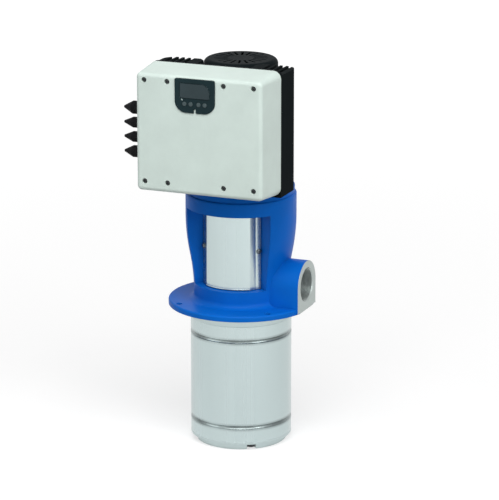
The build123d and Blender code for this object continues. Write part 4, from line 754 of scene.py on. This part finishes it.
class PUMP_OT_drive(bpy.types.Operator):
    """Finishes of the heat sink, drive cover, board and cable glands, and the ribs of the gland caps"""
    bl_idname = "pump.drive"
    bl_label = "Drive"

    def execute(self, context):
        looks = context.scene.pump_finishes
        finish_nodes("sink_black", coated(
            "Black Heat Sink Coat", looks.black_colour, 0.52, 650.0, 0.12, wear=0.1, gloss=0.004,
            soft=0.0008))
        finish_nodes("cover_grey", coated(
            "Pale Cover Coat", looks.cover_colour, 0.42, 900.0, 0.06, wear=0.15, gloss=0.35,
            edge_colour=(0.74, 0.79, 0.76), dust_and_shade=0.15, soft=0.0012))
        gland = moulded("Gland Plastic", (0.006, 0.006, 0.007), 0.46, gloss=0.06)
        finish_nodes("gland_black", gland)

        def ribs(bm):
            lying = Matrix.Rotation(math.radians(90.0), 4, "Y")
            for z, cap_r in GLAND_CAPS:
                middle = Matrix.Translation((GLAND_RIB_X, GLAND_Y, z + cap_r))
                rib = bmesh.ops.create_cone(
                    bm, cap_ends=True, segments=6, radius1=GLAND_RIB_R, radius2=GLAND_RIB_R,
                    depth=GLAND_RIB_LEN, matrix=middle @ lying)["verts"]
                faces = {face for vert in rib for face in vert.link_faces}
                edges = {edge for vert in rib for edge in vert.link_edges}
                bmesh.ops.spin(
                    bm, geom=[*rib, *faces, *edges], cent=(0.0, GLAND_Y, z), axis=(1.0, 0.0, 0.0),
                    dvec=(0.0, 0.0, 0.0), angle=2 * math.pi * (GLAND_RIBS - 1) / GLAND_RIBS,
                    steps=GLAND_RIBS - 1, use_duplicate=True)

        new_piece("gland_grip_ribs", ribs, "pump_frame", gland)
        finish_nodes("board_green", moulded(
            "Board Lacquer", (0.02, 0.13, 0.06), 0.30, grain=400.0, depth=0.15))
        return {"FINISHED"}


class PUMP_OT_keypad(bpy.types.Operator):
    """Finishes of the keypad, its window and its buttons, with the window's trim and a status lamp"""
    bl_idname = "pump.keypad"
    bl_label = "Keypad"

    def execute(self, context):
        colour = context.scene.pump_finishes.keypad_colour
        finish_nodes("keypad_teal", moulded("Keypad Plastic", colour, 0.40, gloss=0.10))
        finish_nodes("display_glass", moulded(
            "Smoked Window", (0.018, 0.036, 0.042), 0.10, depth=0.004, wear=0.2, gloss=0.25))
        finish_nodes("button_grey", moulded("Button Rubber", (0.05, 0.075, 0.08), 0.5, grain=1500.0))
        trim = moulded("Window Trim", (0.20, 0.26, 0.27), 0.25, depth=0.02, gloss=0.6)
        lens = moulded("Lamp Lens", (0.30, 0.38, 0.37), 0.15, depth=0.01, gloss=0.6)
        corner, far_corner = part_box("display_window")
        face_y = corner[1] + WINDOW_PROUD
        window_x, window_z = ((corner[axis] + far_corner[axis]) / 2 for axis in (0, 2))

        def frame_ring(bm):
            outline = rounded_outline(window_x, window_z, *TRIM_SIZE, TRIM_ROUNDS)
            face = bm.faces.new([bm.verts.new((x, face_y, z)) for x, z in outline])
            bmesh.ops.inset_region(
                bm, faces=[face], thickness=TRIM_BREADTH, use_boundary=True, use_even_offset=True)
            bmesh.ops.delete(bm, geom=[face], context="FACES_ONLY")
            ring = bmesh.ops.extrude_face_region(bm, geom=bm.faces[:])["geom"]
            top = [item for item in ring if isinstance(item, bmesh.types.BMVert)]
            bmesh.ops.translate(bm, verts=top, vec=(0.0, -TRIM_RISE, 0.0))
            rims = [item for item in ring if isinstance(item, bmesh.types.BMEdge)
                    and sum(1 for face in item.link_faces if abs(face.normal.y) > 0.5) == 1]
            bmesh.ops.bevel(bm, geom=rims, offset=TRIM_CHAMFER, segments=2, affect="EDGES")
            bmesh.ops.recalc_face_normals(bm, faces=bm.faces[:])

        def lamp(bm):
            disc = bmesh.ops.create_circle(bm, cap_ends=True, segments=20, radius=LAMP_R)
            face = disc["verts"][0].link_faces[0]
            for rise, scale in LAMP_STEPS:
                face = grow(bm, face, rise, scale)
            close_and_face(bm)
            stand = Matrix.Rotation(math.radians(90.0), 4, "X")
            place = Matrix.Translation((window_x + LAMP_ASIDE, face_y, LAMP_Z))
            bmesh.ops.transform(bm, matrix=place @ stand, verts=bm.verts[:])

        new_piece("display_trim", frame_ring, "pump_frame", trim)
        new_piece("status_lamp", lamp, "pump_frame", lens)
        return {"FINISHED"}


class PUMP_OT_stage(bpy.types.Operator):
    """Floor, soft studio lights, world and camera"""
    bl_idname = "pump.stage"
    bl_label = "Stage"

    def execute(self, context):
        scene = context.scene
        stage = scene.pump_stage
        floor_z = cad_box[0][2]

        bm = bmesh.new()
        bmesh.ops.create_grid(bm, x_segments=8, y_segments=8, size=FLOOR_HALF)
        bmesh.ops.translate(bm, verts=bm.verts[:], vec=(0.0, 0.0, floor_z))
        mesh = bpy.data.meshes.new("floor")
        bm.to_mesh(mesh)
        bm.free()
        floor = bpy.data.objects.new("floor", mesh)
        scene.collection.objects.link(floor)
        material, tree, shader = start_material("Pale Floor")
        shader.inputs["Base Color"].default_value = (0.45, 0.45, 0.45, 1.0)
        shader.inputs["Roughness"].default_value = 0.8
        shader.inputs["Specular IOR Level"].default_value = 0.0
        shader.inputs["Emission Color"].default_value = (1.0, 1.0, 1.0, 1.0)
        away = add_node(tree, "ShaderNodeVectorMath", {0: object_place(tree)}, operation="LENGTH")
        (near, near_level), (far, far_level) = FLOOR_NEAR, FLOOR_FAR
        level = spread(tree, away.outputs["Value"], near, far, near_level, far_level)
        own_light = calc(tree, "MULTIPLY", seen_directly(tree), level)
        tree.links.new(own_light, shader.inputs["Emission Strength"])
        mesh.materials.append(material)

        for name, power, place, size in LIGHTS:
            light = bpy.data.lights.new(name, "AREA")
            light.shape = "SQUARE"
            light.size = size
            light.energy = getattr(stage, power)
            lamp = bpy.data.objects.new(name, light)
            scene.collection.objects.link(lamp)
            lamp.location = place
            lamp.rotation_euler = (AIM - Vector(place)).to_track_quat("-Z", "Y").to_euler()

        world = bpy.data.worlds.new("studio")
        world.use_nodes = True
        sky = world.node_tree
        sky.nodes.clear()
        level = spread(sky, seen_directly(sky), 0.0, 1.0, stage.world_level, 1.0)
        back = add_node(sky, "ShaderNodeBackground", {"Color": (1.0, 1.0, 1.0, 1.0), "Strength": level})
        out = add_node(sky, "ShaderNodeOutputWorld")
        sky.links.new(back.outputs[0], out.inputs[0])
        scene.world = world

        lens = bpy.data.cameras.new("camera")
        lens.sensor_fit = "HORIZONTAL"
        lens.sensor_width = SENSOR_WIDTH
        lens.lens = FOCAL_PIXELS / PICTURE_PIXELS * SENSOR_WIDTH
        lens.clip_end = 60.0
        camera = bpy.data.objects.new("camera", lens)
        scene.collection.objects.link(camera)
        camera.location = CAMERA_PLACE
        camera.rotation_euler = (CAMERA_TARGET - CAMERA_PLACE).to_track_quat("-Z", "Y").to_euler()
        scene.camera = camera
        scene.view_settings.view_transform = "Standard"
        return {"FINISHED"}


class PUMP_PT_panel(bpy.types.Panel):
    """Operators and settings of the pump"""
    bl_label = "Pump"
    bl_idname = "PUMP_PT_panel"
    bl_space_type = "VIEW_3D"
    bl_region_type = "UI"
    bl_category = "Pump"

    def draw(self, context):
        layout = self.layout
        for group in (context.scene.pump_finishes, context.scene.pump_sizes, context.scene.pump_stage):
            for name in group.bl_rna.properties.keys():
                if name not in {"rna_type", "name"}:
                    layout.prop(group, name)
        for operator in OPERATORS:
            layout.operator(operator.bl_idname)


OPERATORS = (
    PUMP_OT_head, PUMP_OT_casing, PUMP_OT_stages, PUMP_OT_coupling, PUMP_OT_motor, PUMP_OT_drive,
    PUMP_OT_keypad, PUMP_OT_stage,
)
SETTINGS = (("pump_finishes", PumpFinishes), ("pump_sizes", PumpSizes), ("pump_stage", PumpStage))


def register():
    for name, settings in SETTINGS:
        bpy.utils.register_class(settings)
        setattr(bpy.types.Scene, name, PointerProperty(type=settings))
    for cls in (*OPERATORS, PUMP_PT_panel):
        bpy.utils.register_class(cls)


def unregister():
    for cls in reversed((*OPERATORS, PUMP_PT_panel)):
        bpy.utils.unregister_class(cls)
    for name, settings in reversed(SETTINGS):
        delattr(bpy.types.Scene, name)
        bpy.utils.unregister_class(settings)


def main():
    register()
    for make in (make_grain, make_brushed, make_edge_wear, make_dust_and_shade):
        make()
    # The motor comes before the head, whose paint also goes on the motor's flange.
    for name in ("motor", "head", "casing", "stages", "coupling", "drive", "keypad", "stage"):
        getattr(bpy.ops.pump, name)()


if __name__ == "__main__":
    main()
